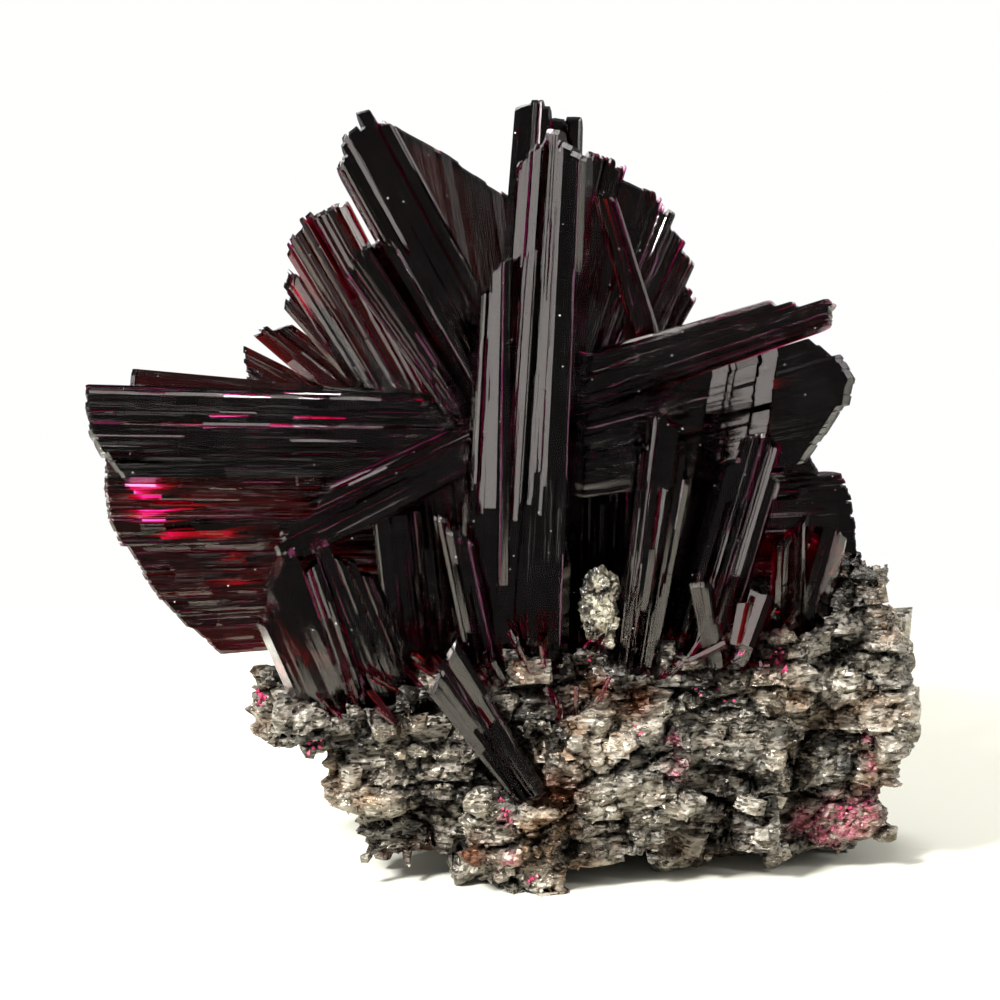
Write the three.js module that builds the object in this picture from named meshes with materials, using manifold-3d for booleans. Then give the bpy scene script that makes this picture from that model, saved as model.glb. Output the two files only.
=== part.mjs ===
// Erythrite specimen: sheaves of bladed crystals radiating from a block of layered schist.
// Millimetres. +X points right, +Y to the back, +Z up, and the block rests on Z = 0.
import * as THREE from "three";
import { ConvexGeometry } from "three/addons/geometries/ConvexGeometry.js";
import { mergeVertices } from "three/addons/utils/BufferGeometryUtils.js";
import Module from "manifold-3d";

const wasm = await Module();
wasm.setup();

// Corners closer together than this are one corner.
const WELD = 1e-5;

// Clearance between neighbouring crystals, and between a crystal and its socket in the rock.
const GAP = 0.3;

// Places below are measured from a point under the foot of the columns. This moves the whole so
// that its origin lies under the middle of its box.
const LAYOUT_SHIFT = new THREE.Vector3(-0.1, -3.8, 0);

// A blade is a flattened prism with a slanting end. These set how much it overlaps the next
// blade of its sheaf, how steep its end may be, and how far its depth and place stray.
const BLADE_OVERLAP = 1.3;
const STEEPEST_END = 1.1;
const STRAY_DEPTH = 0.22;
const STRAY_SIZE = 0.16;

// Crystals in order of growth: each later one stops short of those before it.
// root and tip: middle of the sheaf's two ends. faces: the way its broad faces look.
// width and depth: across the broad face and through it, at the root and at the tip.
// ends: how far the end of each blade stands past the tip, clockwise as seen on the broad face.
// bevel: slope of the end faces through the depth. ragged: how far the ends stray at random.
const CRYSTALS = [
  {
    name: "central_column",
    sheaves: [
      {
        root: [1.5, -3.1, 12.6], tip: [3.0, -4.9, 41.1], faces: [-0.22, -1, 0.08],
        width: [4.8, 3.5], depth: [3.6, 2.6], ends: [-1.1, 0.1, 0.5, -0.1, -0.6],
        bevel: 0.25, ragged: 0.5,
      },
      {
        root: [-0.6, -4.0, 17.0], tip: [-0.1, -5.4, 34.0], faces: [-0.3, -1, 0.1],
        width: [2.4, 1.5], depth: [2.6, 1.7], ends: [-0.9, 0.3],
        bevel: 0.4, ragged: 0.2,
      },
    ],
  },
  {
    name: "rear_column",
    sheaves: [
      {
        root: [1.2, 1.3, 12.4], tip: [2.7, 1.6, 41.9], faces: [-0.1, -1, 0.05],
        width: [5.0, 3.4], depth: [3.6, 2.6], ends: [-0.4, 0.5, -0.2, 0.0],
        bevel: 0.3, ragged: 0.7,
      },
    ],
  },
  {
    name: "left_front_needles",
    sheaves: [
      {
        root: [-0.6, -2.9, 24.6], tip: [-11.0, -6.3, 20.0], faces: [0, -1, 0.35],
        width: [2.4, 3.0], depth: [1.5, 1.7], ends: [0.3, 0.9, 0.2, -0.9, -2.6],
        bevel: 0.4, ragged: 0.9,
      },
    ],
  },
  {
    name: "upper_left_front_fan",
    sheaves: [
      {
        root: [-0.9, -2.3, 24.6], tip: [-7.3, -3.5, 34.9], faces: [0, -1, 0.15],
        width: [1.8, 3.1], depth: [1.5, 1.6], ends: [-0.2, 0.1, 0.3, 0.4, -0.3],
        bevel: 0.3, ragged: 0.3,
      },
    ],
  },
  {
    name: "upper_left_sheaf",
    sheaves: [
      {
        root: [0.6, -0.6, 25.4], tip: [-8.0, 1.4, 41.1], faces: [0.1, -1, 0.2],
        width: [3.4, 3.7], depth: [2.4, 2.2], ends: [-1.3, -0.5, 0.1, 0.1, -0.6],
        bevel: 0.3, ragged: 0.5,
      },
    ],
  },
  {
    name: "left_upper_blade",
    sheaves: [
      {
        root: [0.2, -0.2, 24.1], tip: [-22.6, -1.5, 24.6], faces: [-0.28, -1, 0.3],
        width: [4.2, 4.8], depth: [2.1, 2.3], ends: [-1.6, -0.7, -0.1, -0.1],
        bevel: -0.4, ragged: 0.12,
      },
    ],
  },
  {
    name: "right_needles",
    sheaves: [
      {
        root: [3.6, -1.6, 27.0], tip: [17.4, -3.0, 31.7], faces: [0, -1, 0.4],
        width: [2.8, 2.1], depth: [2.0, 1.6], ends: [-2.4, -0.8, 0.5, 0.4, 0.1],
        bevel: 0.3, ragged: 0.5,
      },
    ],
  },
  {
    name: "right_blade",
    sheaves: [
      {
        root: [3.6, -0.4, 23.0], tip: [18.9, -1.6, 26.8], faces: [0.15, -1, 0.24],
        width: [4.4, 6.5], depth: [2.6, 3.2], ends: [-0.8, 0.2, 0.2, -1.2, -2.7],
        bevel: -0.45, ragged: 0.12,
      },
    ],
  },
  {
    name: "front_prism_cluster",
    sheaves: [
      {
        root: [7.4, -3.9, 12.3], tip: [9.1, -6.0, 25.6], faces: [0.1, -1, 0.1],
        width: [2.2, 3.2], depth: [1.8, 2.2], ends: [-1.0, 0.6, 0.2, -0.8, -2.3],
        bevel: 0.4, ragged: 0.6,
      },
    ],
  },
  {
    name: "leaning_blade",
    sheaves: [
      {
        root: [10.8, -2.8, 12.3], tip: [14.1, -3.6, 24.4], faces: [0.2, -1, 0.1],
        width: [3.0, 3.2], depth: [1.8, 1.5], ends: [-1.2, 0.4, 0.1, -1.2],
        bevel: 0.3, ragged: 0.5,
      },
    ],
  },
  {
    name: "lower_left_pale_prism",
    sheaves: [
      {
        root: [-9.2, -5.2, 9.8], tip: [-12.2, -7.0, 17.2], faces: [-0.75, -1, 0.05],
        width: [3.0, 2.9], depth: [2.4, 2.3], ends: [-1.4, 0.2, 1.2],
        bevel: 0.2, ragged: 0.2,
      },
    ],
  },
  {
    name: "lower_left_dark_fan",
    sheaves: [
      {
        root: [-6.0, -4.2, 9.4], tip: [-9.2, -6.2, 18.9], faces: [0.1, -1, 0.1],
        width: [4.0, 3.4], depth: [2.2, 2.0], ends: [0.0, 0.7, -0.4, -1.6],
        bevel: 0.4, ragged: 0.4,
      },
    ],
  },
  {
    name: "diagonal_blade",
    sheaves: [
      {
        root: [1.6, -6.9, 5.6], tip: [-3.2, -8.7, 13.1], faces: [0, -1, 0.1],
        width: [1.6, 2.5], depth: [1.4, 1.4], ends: [-0.5, 0.3],
        bevel: 0.5, ragged: 0.2,
      },
    ],
  },
  {
    name: "centre_front_blades",
    sheaves: [
      {
        root: [-1.0, -5.7, 12.2], tip: [-2.7, -6.5, 20.8], faces: [-0.2, -1, 0.1],
        width: [1.7, 1.6], depth: [1.2, 1.0], ends: [0.4, -0.4, -1.4],
        bevel: 0.3, ragged: 0.3,
      },
    ],
  },
  {
    name: "left_lower_blade",
    sheaves: [
      {
        root: [-0.4, 1.2, 17.5], tip: [-21.4, 0.6, 17.1], faces: [-0.15, -1, 0.05],
        width: [8.8, 11.0], depth: [1.5, 1.5], ends: [-4.8, -3.2, -2.0, -1.0, 0.0, 0.5, 0.4],
        bevel: -0.2, ragged: 0.1,
      },
    ],
  },
  {
    name: "left_top_splinter",
    sheaves: [
      {
        root: [-0.8, 1.3, 25.1], tip: [-20.5, 3.4, 26.8], faces: [0, -1, 0.3],
        width: [1.2, 0.9], depth: [1.4, 1.2], ends: [0.0],
        bevel: 0.3, ragged: 0,
      },
    ],
  },
  {
    name: "upper_left_red_fan",
    sheaves: [
      {
        root: [-3.0, 3.6, 21.8], tip: [-10.9, 7.0, 35.0], faces: [-0.1, -1, 0.1],
        width: [3.8, 5.2], depth: [1.8, 1.7], ends: [-1.9, -0.3, 0.3, 0.5, 0.6, 0.2],
        bevel: 0.2, ragged: 0.4,
      },
    ],
  },
  {
    name: "left_back_fan",
    sheaves: [
      {
        root: [-4.0, 6.0, 23.0], tip: [-12.4, 8.6, 31.6], faces: [0, -1, 0.1],
        width: [2.2, 1.5], depth: [1.6, 1.2], ends: [-0.6, 0.3],
        bevel: 0.4, ragged: 0.4,
      },
      {
        root: [-4.4, 6.0, 22.4], tip: [-13.4, 8.8, 29.2], faces: [0, -1, 0.2],
        width: [2.4, 1.6], depth: [1.6, 1.2], ends: [0.4, -0.7],
        bevel: 0.4, ragged: 0.4,
      },
      {
        root: [-4.2, 6.0, 21.6], tip: [-14.6, 9.0, 27.0], faces: [0, -1, 0.3],
        width: [2.4, 1.4], depth: [1.5, 1.2], ends: [-0.3, 0.3],
        bevel: 0.4, ragged: 0.3,
      },
    ],
  },
  {
    name: "upper_back_blade",
    sheaves: [
      {
        root: [0.4, 4.4, 21.5], tip: [-2.8, 8.0, 38.8], faces: [0.1, -1, 0.1],
        width: [4.4, 6.2], depth: [2.0, 1.8], ends: [2.3, 1.1, 0.0, -1.3, -2.5],
        bevel: 0.2, ragged: 0.1,
      },
    ],
  },
  {
    name: "upper_right_fan",
    sheaves: [
      {
        root: [3.6, 3.2, 22.8], tip: [9.0, 6.3, 36.9], faces: [0.15, -1, 0.1],
        width: [4.4, 9.0], depth: [2.4, 2.2], ends: [0.4, 0.5, -0.2, 0.1, -0.3, -1.3, -2.7, -4.2],
        bevel: 0.25, ragged: 0.6,
      },
    ],
  },
  {
    name: "right_front_needle",
    sheaves: [
      {
        root: [8.4, -0.9, 28.6], tip: [5.7, -2.0, 37.8], faces: [0.4, -1, 0.1],
        width: [1.2, 0.9], depth: [0.9, 0.8], ends: [0.1, -0.1],
        bevel: 0.3, ragged: 0.2,
      },
    ],
  },
  {
    name: "right_lower_fan",
    sheaves: [
      {
        root: [5.4, 2.4, 18.8], tip: [19.6, 3.6, 19.3], faces: [0.1, -1, 0.05],
        width: [5.4, 7.2], depth: [2.2, 2.2], ends: [-1.7, -0.5, 0.0, 0.1, 0.2],
        bevel: 0.3, ragged: 0.4,
      },
    ],
  },
  {
    name: "right_gem_crystals",
    sheaves: [
      {
        root: [15.9, -1.6, 13.2], tip: [16.0, -2.9, 19.6], faces: [0.5, -1, 0],
        width: [1.8, 1.7], depth: [1.6, 1.4], ends: [-0.9, 0.4],
        bevel: 0.6, ragged: 0.1,
      },
      {
        root: [16.9, -1.0, 13.2], tip: [18.3, -1.4, 19.0], faces: [-0.3, -1, 0],
        width: [1.6, 1.4], depth: [1.5, 1.3], ends: [0.0],
        bevel: 0.6, ragged: 0,
      },
    ],
  },
  {
    name: "front_small_crystal_right",
    sheaves: [
      {
        root: [13.1, -4.5, 12.3], tip: [14.1, -5.4, 16.7], faces: [0.3, -1, 0.1],
        width: [0.9, 1.1], depth: [0.8, 0.7], ends: [-0.4],
        bevel: 0.7, ragged: 0,
      },
    ],
  },
  {
    name: "front_small_crystal_left",
    sheaves: [
      {
        root: [11.9, -4.6, 12.3], tip: [11.0, -5.4, 17.0], faces: [-0.3, -1, 0.1],
        width: [0.8, 0.9], depth: [0.8, 0.7], ends: [0.0],
        bevel: 0.7, ragged: 0,
      },
    ],
  },
  {
    name: "lower_centre_blades",
    sheaves: [
      {
        root: [-3.0, -0.8, 9.8], tip: [-4.2, -1.4, 21.4], faces: [0, -1, 0.1],
        width: [5.6, 5.6], depth: [2.8, 2.2], ends: [-1.8, -0.5, 0.4, 0.9],
        bevel: 0.3, ragged: 0.8,
      },
    ],
  },
  {
    name: "lower_right_blades",
    sheaves: [
      {
        root: [9.0, 0.6, 12.2], tip: [9.6, 0.2, 23.6], faces: [0.1, -1, 0.1],
        width: [8.6, 9.6], depth: [2.6, 2.2], ends: [-0.8, 0.6, -0.2, 0.5, -1.6],
        bevel: 0.3, ragged: 0.8,
      },
    ],
  },
  {
    name: "rear_upper_fan",
    sheaves: [
      {
        root: [2.0, 5.6, 15.0], tip: [3.4, 15.0, 31.0], faces: [0, 1, -0.4],
        width: [4.2, 7.0], depth: [2.2, 2.0], ends: [-1.5, 0.2, 0.9, 0.3, -0.8],
        bevel: 0.2, ragged: 0.6,
      },
    ],
  },
  {
    name: "rear_left_fan",
    sheaves: [
      {
        root: [-1.6, 5.0, 14.4], tip: [-11.6, 13.0, 23.0], faces: [0.3, 1, -0.5],
        width: [4.0, 6.4], depth: [2.2, 1.9], ends: [-0.6, 0.8, 0.5, -0.4, -1.9],
        bevel: 0.2, ragged: 0.6,
      },
    ],
  },
  {
    name: "rear_right_fan",
    sheaves: [
      {
        root: [6.4, 5.2, 14.6], tip: [15.4, 12.6, 24.4], faces: [-0.3, 1, -0.5],
        width: [4.0, 6.6], depth: [2.2, 1.9], ends: [-1.7, -0.2, 0.7, 0.4, -0.9],
        bevel: 0.2, ragged: 0.6,
      },
    ],
  },
  {
    name: "rear_low_blades",
    sheaves: [
      {
        root: [2.6, 6.4, 12.0], tip: [3.6, 15.6, 18.6], faces: [0.2, 0.6, -1],
        width: [3.4, 4.6], depth: [1.8, 1.6], ends: [-1.2, 0.4, 0.7, -0.7],
        bevel: 0.2, ragged: 0.6,
      },
    ],
  },
];

// The rock is a stack of courses of broken schist. Each course has its height, its plan
// outline (front edge, then back edge, both from left to right) and its usual length of stone.
// The courses of one core share a solid middle.
const COURSES = [
  {
    core: 0, bottom: 0, top: 2.4, stone: 6.4,
    front: [[-5.0, 2.6], [4.0, 2.0], [12.0, 2.0], [19.0, 1.6]],
    back: [[-4.6, 6.6], [4.0, 7.6], [13.0, 7.8], [19.0, 5.6]],
  },
  {
    core: 0, bottom: 1.9, top: 5.2, stone: 5.6,
    front: [[-6.8, -2.5], [-4.0, -5.6], [2.0, -7.0], [8.0, -6.0], [15.0, -4.2], [20.6, -1.4]],
    back: [[-6.6, 4.6], [1.0, 7.8], [12.0, 8.4], [20.4, 4.8]],
  },
  {
    core: 0, bottom: 4.9, top: 8.2, stone: 6.0,
    front: [[-8.7, -3.4], [-6.0, -6.4], [1.0, -6.8], [8.0, -5.8], [16.0, -4.4], [21.4, -1.0]],
    back: [[-8.2, 4.6], [0.0, 7.6], [12.0, 8.6], [21.0, 5.0]],
  },
  {
    core: 0, bottom: 7.9, top: 10.5, stone: 5.4,
    front: [[-10.4, -4.2], [-8.0, -6.9], [-1.0, -6.6], [6.0, -6.0], [16.0, -4.2], [21.9, -0.6]],
    back: [[-9.4, 4.4], [-1.0, 7.4], [11.0, 8.4], [21.6, 5.2]],
  },
  {
    core: 1, bottom: 10.2, top: 13.6, stone: 5.8,
    front: [[-1.0, -6.2], [6.0, -6.0], [14.0, -4.6], [21.9, -0.6]],
    back: [[-1.6, 6.2], [10.0, 8.0], [21.6, 5.4]],
  },
  {
    core: 2, bottom: 13.0, top: 16.0, stone: 3.6,
    front: [[15.2, -2.4], [19.0, -1.6], [21.4, 0.0]],
    back: [[15.0, 5.8], [21.2, 4.6]],
  },
];

// Single stones that stand out of the courses: middle, size and turn about Z in degrees.
const STONES = [
  { middle: [1.3, -5.6, 1.4], size: [3.0, 3.0, 2.9], turn: 20 },
  { middle: [1.6, -6.2, 3.4], size: [3.6, 3.6, 3.0], turn: -10 },
  { middle: [17.0, 0.6, 2.0], size: [5.2, 4.6, 2.6], turn: 14 },
  { middle: [-3.2, -3.6, 1.9], size: [6.2, 3.6, 1.6], turn: 4 },
  { middle: [-8.2, -5.6, 9.9], size: [6.6, 4.2, 0.9], turn: 0 },
  { middle: [-11.6, 1.6, 8.8], size: [3.2, 3.6, 3.4], turn: 30 },
  { middle: [-3.4, -5.2, 10.9], size: [4.6, 2.6, 1.1], turn: -6 },
  { middle: [18.4, 2.2, 16.2], size: [3.0, 3.8, 2.4], turn: 10 },
  { middle: [21.4, 1.6, 12.4], size: [2.6, 4.0, 2.6], turn: -12 },
  { middle: [2.6, -5.9, 9.2], size: [3.0, 2.6, 2.4], turn: 24 },
];

// How far a corner of a stone strays, how far stones differ in length and height, how far one
// stands in or out of its row and turns (in degrees), how far one is sunk into the next, how much
// longer those of the back are, how deep a row is, and how far the solid middle is inset. A stone
// whose underside is below LOWEST_BED is flat there, on the resting plane.
const CORNER_STRAY = [0.5, 0.5, 0.4];
const LENGTH_STRAY = 0.4;
const HEIGHT_STRAY = 0.5;
const SETBACK_STRAY = 0.4;
const TURN_STRAY = 9;
const STONE_OVERLAP = 1.2;
const BACK_STONE = 1.9;
const ROW_DEPTH = 3.6;
const MIDDLE_INSET = 1.5;
const LOWEST_BED = 0.2;

// The pale lump of quartz that stands on the rock in front of the column.
const QUARTZ_MIDDLE = [5.8, -4.6, 15.5];
const QUARTZ_RADII = [1.35, 1.0, 2.3];
const QUARTZ_POINTS = 34;
const QUARTZ_STRAY = 0.16;

const crystalFinish = { color: 0x2a0f1e, roughness: 0.16, metalness: 0.0 };
const rockFinish = { color: 0x5d5850, roughness: 0.82, metalness: 0.05 };
const quartzFinish = { color: 0xa39e86, roughness: 0.45, metalness: 0.0 };

// The scatter is the fractional part of a very tall sine wave, sampled at these steps.
const ITEM_STEP = 12.9898;
const ASPECT_STEP = 78.233;
const WAVE_HEIGHT = 43758.5453;

// What a scatter is used for. Corners of a stone use 0, 1 and 2, one for each axis.
const ASPECT = { place: 1, thickness: 2, reach: 3, length: 5, height: 6, setback: 7, turn: 9, swell: 20 };

// A name is turned into a whole number below SEED_RANGE. Sheaves of one crystal, courses, and
// the stones of a course start this far apart, so that no two of them share a scatter.
const LETTER_STEP = 31;
const SEED_RANGE = 9973;
const SHEAF_STEP = 211;
const FRONT_ROW_SEED = 900;
const BACK_ROW_SEED = 1100;
const COURSE_STEP = 400;
const ROW_STONE_STEP = 12;
const SINGLE_STONE_SEED = 5000;
const SINGLE_STONE_STEP = 16;

// A repeatable scatter between -1 and 1 from two whole numbers.
function scatter(item, aspect) {
  const wave = Math.sin(item * ITEM_STEP + aspect * ASPECT_STEP) * WAVE_HEIGHT;
  return 2 * (wave - Math.floor(wave)) - 1;
}

// A whole number drawn from a name, so that each crystal has a scatter of its own.
function seedOf(name) {
  let sum = 0;
  for (const letter of name) {
    sum = (sum * LETTER_STEP + letter.charCodeAt(0)) % SEED_RANGE;
  }
  return sum;
}

function solidFrom(geometry) {
  geometry.deleteAttribute("normal");
  geometry.deleteAttribute("uv");
  const merged = mergeVertices(geometry, WELD);
  return new wasm.Manifold(new wasm.Mesh({
    numProp: 3,
    vertProperties: new Float32Array(merged.attributes.position.array),
    triVerts: new Uint32Array(merged.index.array),
  }));
}

function geometryFrom(solid) {
  const mesh = solid.getMesh();
  const geometry = new THREE.BufferGeometry();
  geometry.setAttribute("position", new THREE.BufferAttribute(new Float32Array(mesh.vertProperties), 3));
  geometry.setIndex(new THREE.BufferAttribute(new Uint32Array(mesh.triVerts), 1));
  geometry.computeVertexNormals();
  return geometry;
}

function largestPiece(solid) {
  const pieces = solid.decompose();
  return pieces.reduce((best, piece) => (piece.volume() > best.volume() ? piece : best));
}

function joined(solids) {
  return solids.reduce((whole, solid) => whole.add(solid));
}

// A closed prism through rings that all have the same number of points.
function prismThrough(rings) {
  const sides = rings[0].length;
  const positions = rings.flat().flatMap((point) => point.toArray());
  const triangles = [];
  for (let ring = 0; ring < rings.length - 1; ring += 1) {
    for (let side = 0; side < sides; side += 1) {
      const here = ring * sides + side;
      const next = ring * sides + (side + 1) % sides;
      triangles.push(here, next, next + sides, here, next + sides, here + sides);
    }
  }
  const last = (rings.length - 1) * sides;
  for (let side = 1; side < sides - 1; side += 1) {
    triangles.push(0, side + 1, side);
    triangles.push(last, last + side, last + side + 1);
  }
  const geometry = new THREE.BufferGeometry();
  geometry.setAttribute("position", new THREE.Float32BufferAttribute(positions, 3));
  geometry.setIndex(triangles);
  return geometry;
}

// Corners of a section, as [depth, width] shares. A prism has six sides. The blades of a broad
// sheaf have four, narrower by turns on one broad face and on the other. A box cuts the clearance.
const PRISM_SECTION = [[1, -0.55], [1, 0.6], [0.1, 1], [-1, 0.55], [-1, -0.6], [-0.1, -1]];
const BLADE_SECTIONS = [
  [[1, -0.7], [1, 0.85], [-1, 1], [-1, -1]],
  [[1, -1], [1, 1], [-1, 0.7], [-1, -0.85]],
];
const BOX_SECTION = [[1, -1], [1, 1], [-1, 1], [-1, -1]];
const MOST_PRISMS = 3;

// A prism from root to tip, with the section's corners given as shares of its half depth and half
// width. slope and bevel slant its end across and through it.
function prismSolid({ root, tip, axes, halfWidth, halfDepth, slope, bevel }, section) {
  const ringAt = (middle, end, slopeHere, bevelHere) => section.map(([deep, wide]) => {
    const sideways = wide * halfWidth[end];
    const inward = deep * halfDepth[end];
    return middle.clone()
      .addScaledVector(axes.across, sideways)
      .addScaledVector(axes.through, inward)
      .addScaledVector(axes.along, slopeHere * sideways + bevelHere * inward);
  });
  return solidFrom(prismThrough([ringAt(root, 0, 0, 0), ringAt(tip, 1, slope, bevel)]));
}

// The directions of a sheaf: along it, through its broad face and across its broad face.
function axesOf(sheaf) {
  const along = new THREE.Vector3(...sheaf.tip).sub(new THREE.Vector3(...sheaf.root)).normalize();
  const through = new THREE.Vector3(...sheaf.faces);
  through.addScaledVector(along, -through.dot(along)).normalize();
  const across = new THREE.Vector3().crossVectors(along, through);
  return { along, through, across };
}

// The blades of one sheaf, side by side across its broad face.
function bladesOf(sheaf, seed) {
  const axes = axesOf(sheaf);
  const root = new THREE.Vector3(...sheaf.root);
  const tip = new THREE.Vector3(...sheaf.tip);
  const count = sheaf.ends.length;
  const last = count - 1;
  return sheaf.ends.map((end, place) => {
    const item = seed + place;
    const side = ((place + 0.5) / count) * 2 - 1;
    const before = sheaf.ends[Math.max(place - 1, 0)];
    const after = sheaf.ends[Math.min(place + 1, last)];
    const pitch = (sheaf.width[1] / count) * (place > 0 && place < last ? 2 : 1);
    const slope = THREE.MathUtils.clamp((after - before) / pitch, -STEEPEST_END, STEEPEST_END);
    const strayed = (middle, which) => middle.clone()
      .addScaledVector(axes.across, side * sheaf.width[which] / 2)
      .addScaledVector(axes.through, scatter(item, ASPECT.place) * STRAY_DEPTH);
    const thickness = 1 + scatter(item, ASPECT.thickness) * STRAY_SIZE;
    const section = count > MOST_PRISMS ? BLADE_SECTIONS[place % 2] : PRISM_SECTION;
    const reach = end + scatter(item, ASPECT.reach) * sheaf.ragged;
    return prismSolid({
      root: strayed(root, 0),
      tip: strayed(tip, 1).addScaledVector(axes.along, reach),
      axes,
      halfWidth: sheaf.width.map((width) => (width / count) * BLADE_OVERLAP / 2),
      halfDepth: sheaf.depth.map((depth) => depth * thickness / 2),
      slope: slope * (1 - Math.min(sheaf.ragged, 1)),
      bevel: sheaf.bevel,
    }, section);
  });
}

// A plain box round a sheaf, one clearance wider all round, that cuts its place in the others.
function clearanceOf(sheaf) {
  const axes = axesOf(sheaf);
  const count = sheaf.ends.length;
  const reach = Math.max(...sheaf.ends) + sheaf.ragged + GAP;
  return prismSolid({
    root: new THREE.Vector3(...sheaf.root).addScaledVector(axes.along, -GAP),
    tip: new THREE.Vector3(...sheaf.tip).addScaledVector(axes.along, reach),
    axes,
    halfWidth: sheaf.width.map((width) => width * (1 + (BLADE_OVERLAP - 1) / count) / 2 + GAP),
    halfDepth: sheaf.depth.map((depth) => depth * (1 + STRAY_SIZE) / 2 + STRAY_DEPTH + GAP),
    slope: 0,
    bevel: 0,
  }, BOX_SECTION);
}

// A stone with eight strayed corners. One that reaches down to the resting plane is flat there.
function stoneSolid(middle, size, turn, seed) {
  const corners = [];
  for (let corner = 0; corner < 8; corner += 1) {
    const signs = [corner & 1 ? 1 : -1, corner & 2 ? 1 : -1, corner & 4 ? 1 : -1];
    const point = new THREE.Vector3(...signs.map((sign, axis) => (
      sign * size[axis] / 2 + scatter(seed + corner, axis) * CORNER_STRAY[axis])));
    point.applyAxisAngle(new THREE.Vector3(0, 0, 1), THREE.MathUtils.degToRad(turn));
    point.add(new THREE.Vector3(...middle));
    const onFloor = signs[2] < 0 && middle[2] - size[2] / 2 < LOWEST_BED;
    point.z = onFloor ? 0 : Math.max(point.z, 0);
    corners.push(point);
  }
  return solidFrom(new ConvexGeometry(corners));
}

// Height of a broken line of [x, y] points at x.
function edgeAt(line, x) {
  const next = line.findIndex((point) => point[0] >= x);
  if (next === 0) {
    return line[0][1];
  }
  if (next < 0) {
    return line[line.length - 1][1];
  }
  const [x0, y0] = line[next - 1];
  const [x1, y1] = line[next];
  return y0 + (y1 - y0) * (x - x0) / (x1 - x0);
}

// The solid middle of some courses: the hull of their outlines, inset.
function coreSolid(courses) {
  const points = courses.flatMap(({ front, back, bottom, top }) => {
    const centreX = (front[0][0] + front[front.length - 1][0]) / 2;
    return [...front, ...back].flatMap(([x, y]) => {
      const centreY = (edgeAt(front, x) + edgeAt(back, x)) / 2;
      const insetX = x - Math.sign(x - centreX) * MIDDLE_INSET;
      const insetY = y - Math.sign(y - centreY) * MIDDLE_INSET;
      return [bottom, top - HEIGHT_STRAY].map((z) => new THREE.Vector3(insetX, insetY, z));
    });
  });
  return solidFrom(new ConvexGeometry(points));
}

// One row of stones from left to right along an edge. inward is +1 on the front, -1 on the back.
function rowSolids(course, edge, stone, inward, seed) {
  const left = edge[0][0];
  const length = edge[edge.length - 1][0] - left;
  const count = Math.round(length / stone);
  const shares = Array.from({ length: count }, (_, place) => (
    1 + scatter(seed + place * ROW_STONE_STEP, ASPECT.length) * LENGTH_STRAY));
  const total = shares.reduce((sum, share) => sum + share);
  let begun = 0;
  return shares.map((share, place) => {
    const item = seed + place * ROW_STONE_STEP;
    const x = left + (begun + share / 2) * length / total;
    begun += share;
    const setback = scatter(item, ASPECT.setback) * SETBACK_STRAY;
    const y = edgeAt(edge, x) + inward * ROW_DEPTH / 2 + setback;
    const height = course.top - course.bottom + scatter(item, ASPECT.height) * HEIGHT_STRAY;
    const size = [share * length / total * STONE_OVERLAP, ROW_DEPTH, height];
    const turn = scatter(item, ASPECT.turn) * TURN_STRAY;
    return stoneSolid([x, y, course.bottom + height / 2], size, turn, item);
  });
}

function rockSolid() {
  const coreNumbers = [...new Set(COURSES.map((course) => course.core))];
  const cores = coreNumbers.map((core) => coreSolid(COURSES.filter((course) => course.core === core)));
  const rows = COURSES.flatMap((course, index) => {
    const frontSeed = FRONT_ROW_SEED + index * COURSE_STEP;
    const backSeed = BACK_ROW_SEED + index * COURSE_STEP;
    return [
      ...rowSolids(course, course.front, course.stone, 1, frontSeed),
      ...rowSolids(course, course.back, course.stone * BACK_STONE, -1, backSeed),
    ];
  });
  const stones = STONES.map(({ middle, size, turn }, index) => (
    stoneSolid(middle, size, turn, SINGLE_STONE_SEED + index * SINGLE_STONE_STEP)));
  return joined([...cores, ...rows, ...stones]);
}

// The quartz lump: the hull of strayed points spread in a spiral over an ellipsoid.
// grow makes it larger all round, for its clearance.
function quartzSolid(grow) {
  const points = [];
  const goldenTurn = Math.PI * (3 - Math.sqrt(5));
  for (let index = 0; index < QUARTZ_POINTS; index += 1) {
    const rise = 1 - 2 * (index + 0.5) / QUARTZ_POINTS;
    const ring = Math.sqrt(1 - rise * rise);
    const swell = 1 + scatter(index, ASPECT.swell) * QUARTZ_STRAY;
    const direction = [Math.cos(index * goldenTurn) * ring, Math.sin(index * goldenTurn) * ring, rise];
    points.push(new THREE.Vector3(...direction.map((part, axis) => (
      QUARTZ_MIDDLE[axis] + part * (QUARTZ_RADII[axis] * swell + grow)))));
  }
  return solidFrom(new ConvexGeometry(points));
}

const specimen = new THREE.Group();
specimen.name = "erythrite_specimen";

function addMesh(name, solid, finish) {
  const mesh = new THREE.Mesh(geometryFrom(solid), new THREE.MeshStandardMaterial(finish));
  mesh.name = name;
  mesh.position.copy(LAYOUT_SHIFT);
  specimen.add(mesh);
}

const clearances = [];
for (const crystal of CRYSTALS) {
  const seed = seedOf(crystal.name);
  const blades = crystal.sheaves.flatMap((sheaf, index) => (
    bladesOf(sheaf, seed + index * SHEAF_STEP)));
  const free = clearances.reduce((solid, clearance) => solid.subtract(clearance), joined(blades));
  addMesh(crystal.name, largestPiece(free), crystalFinish);
  clearances.push(...crystal.sheaves.map(clearanceOf));
}
const quartz = clearances.reduce((solid, clearance) => solid.subtract(clearance), quartzSolid(0));
addMesh("quartz_lump", largestPiece(quartz), quartzFinish);
clearances.push(quartzSolid(GAP));
const rock = clearances.reduce((solid, clearance) => solid.subtract(clearance), rockSolid());
addMesh("schist_matrix", largestPiece(rock), rockFinish);

export default specimen;
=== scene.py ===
import math

import bmesh
import bpy
import numpy as np
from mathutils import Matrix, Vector
from mathutils.bvhtree import BVHTree


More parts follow.
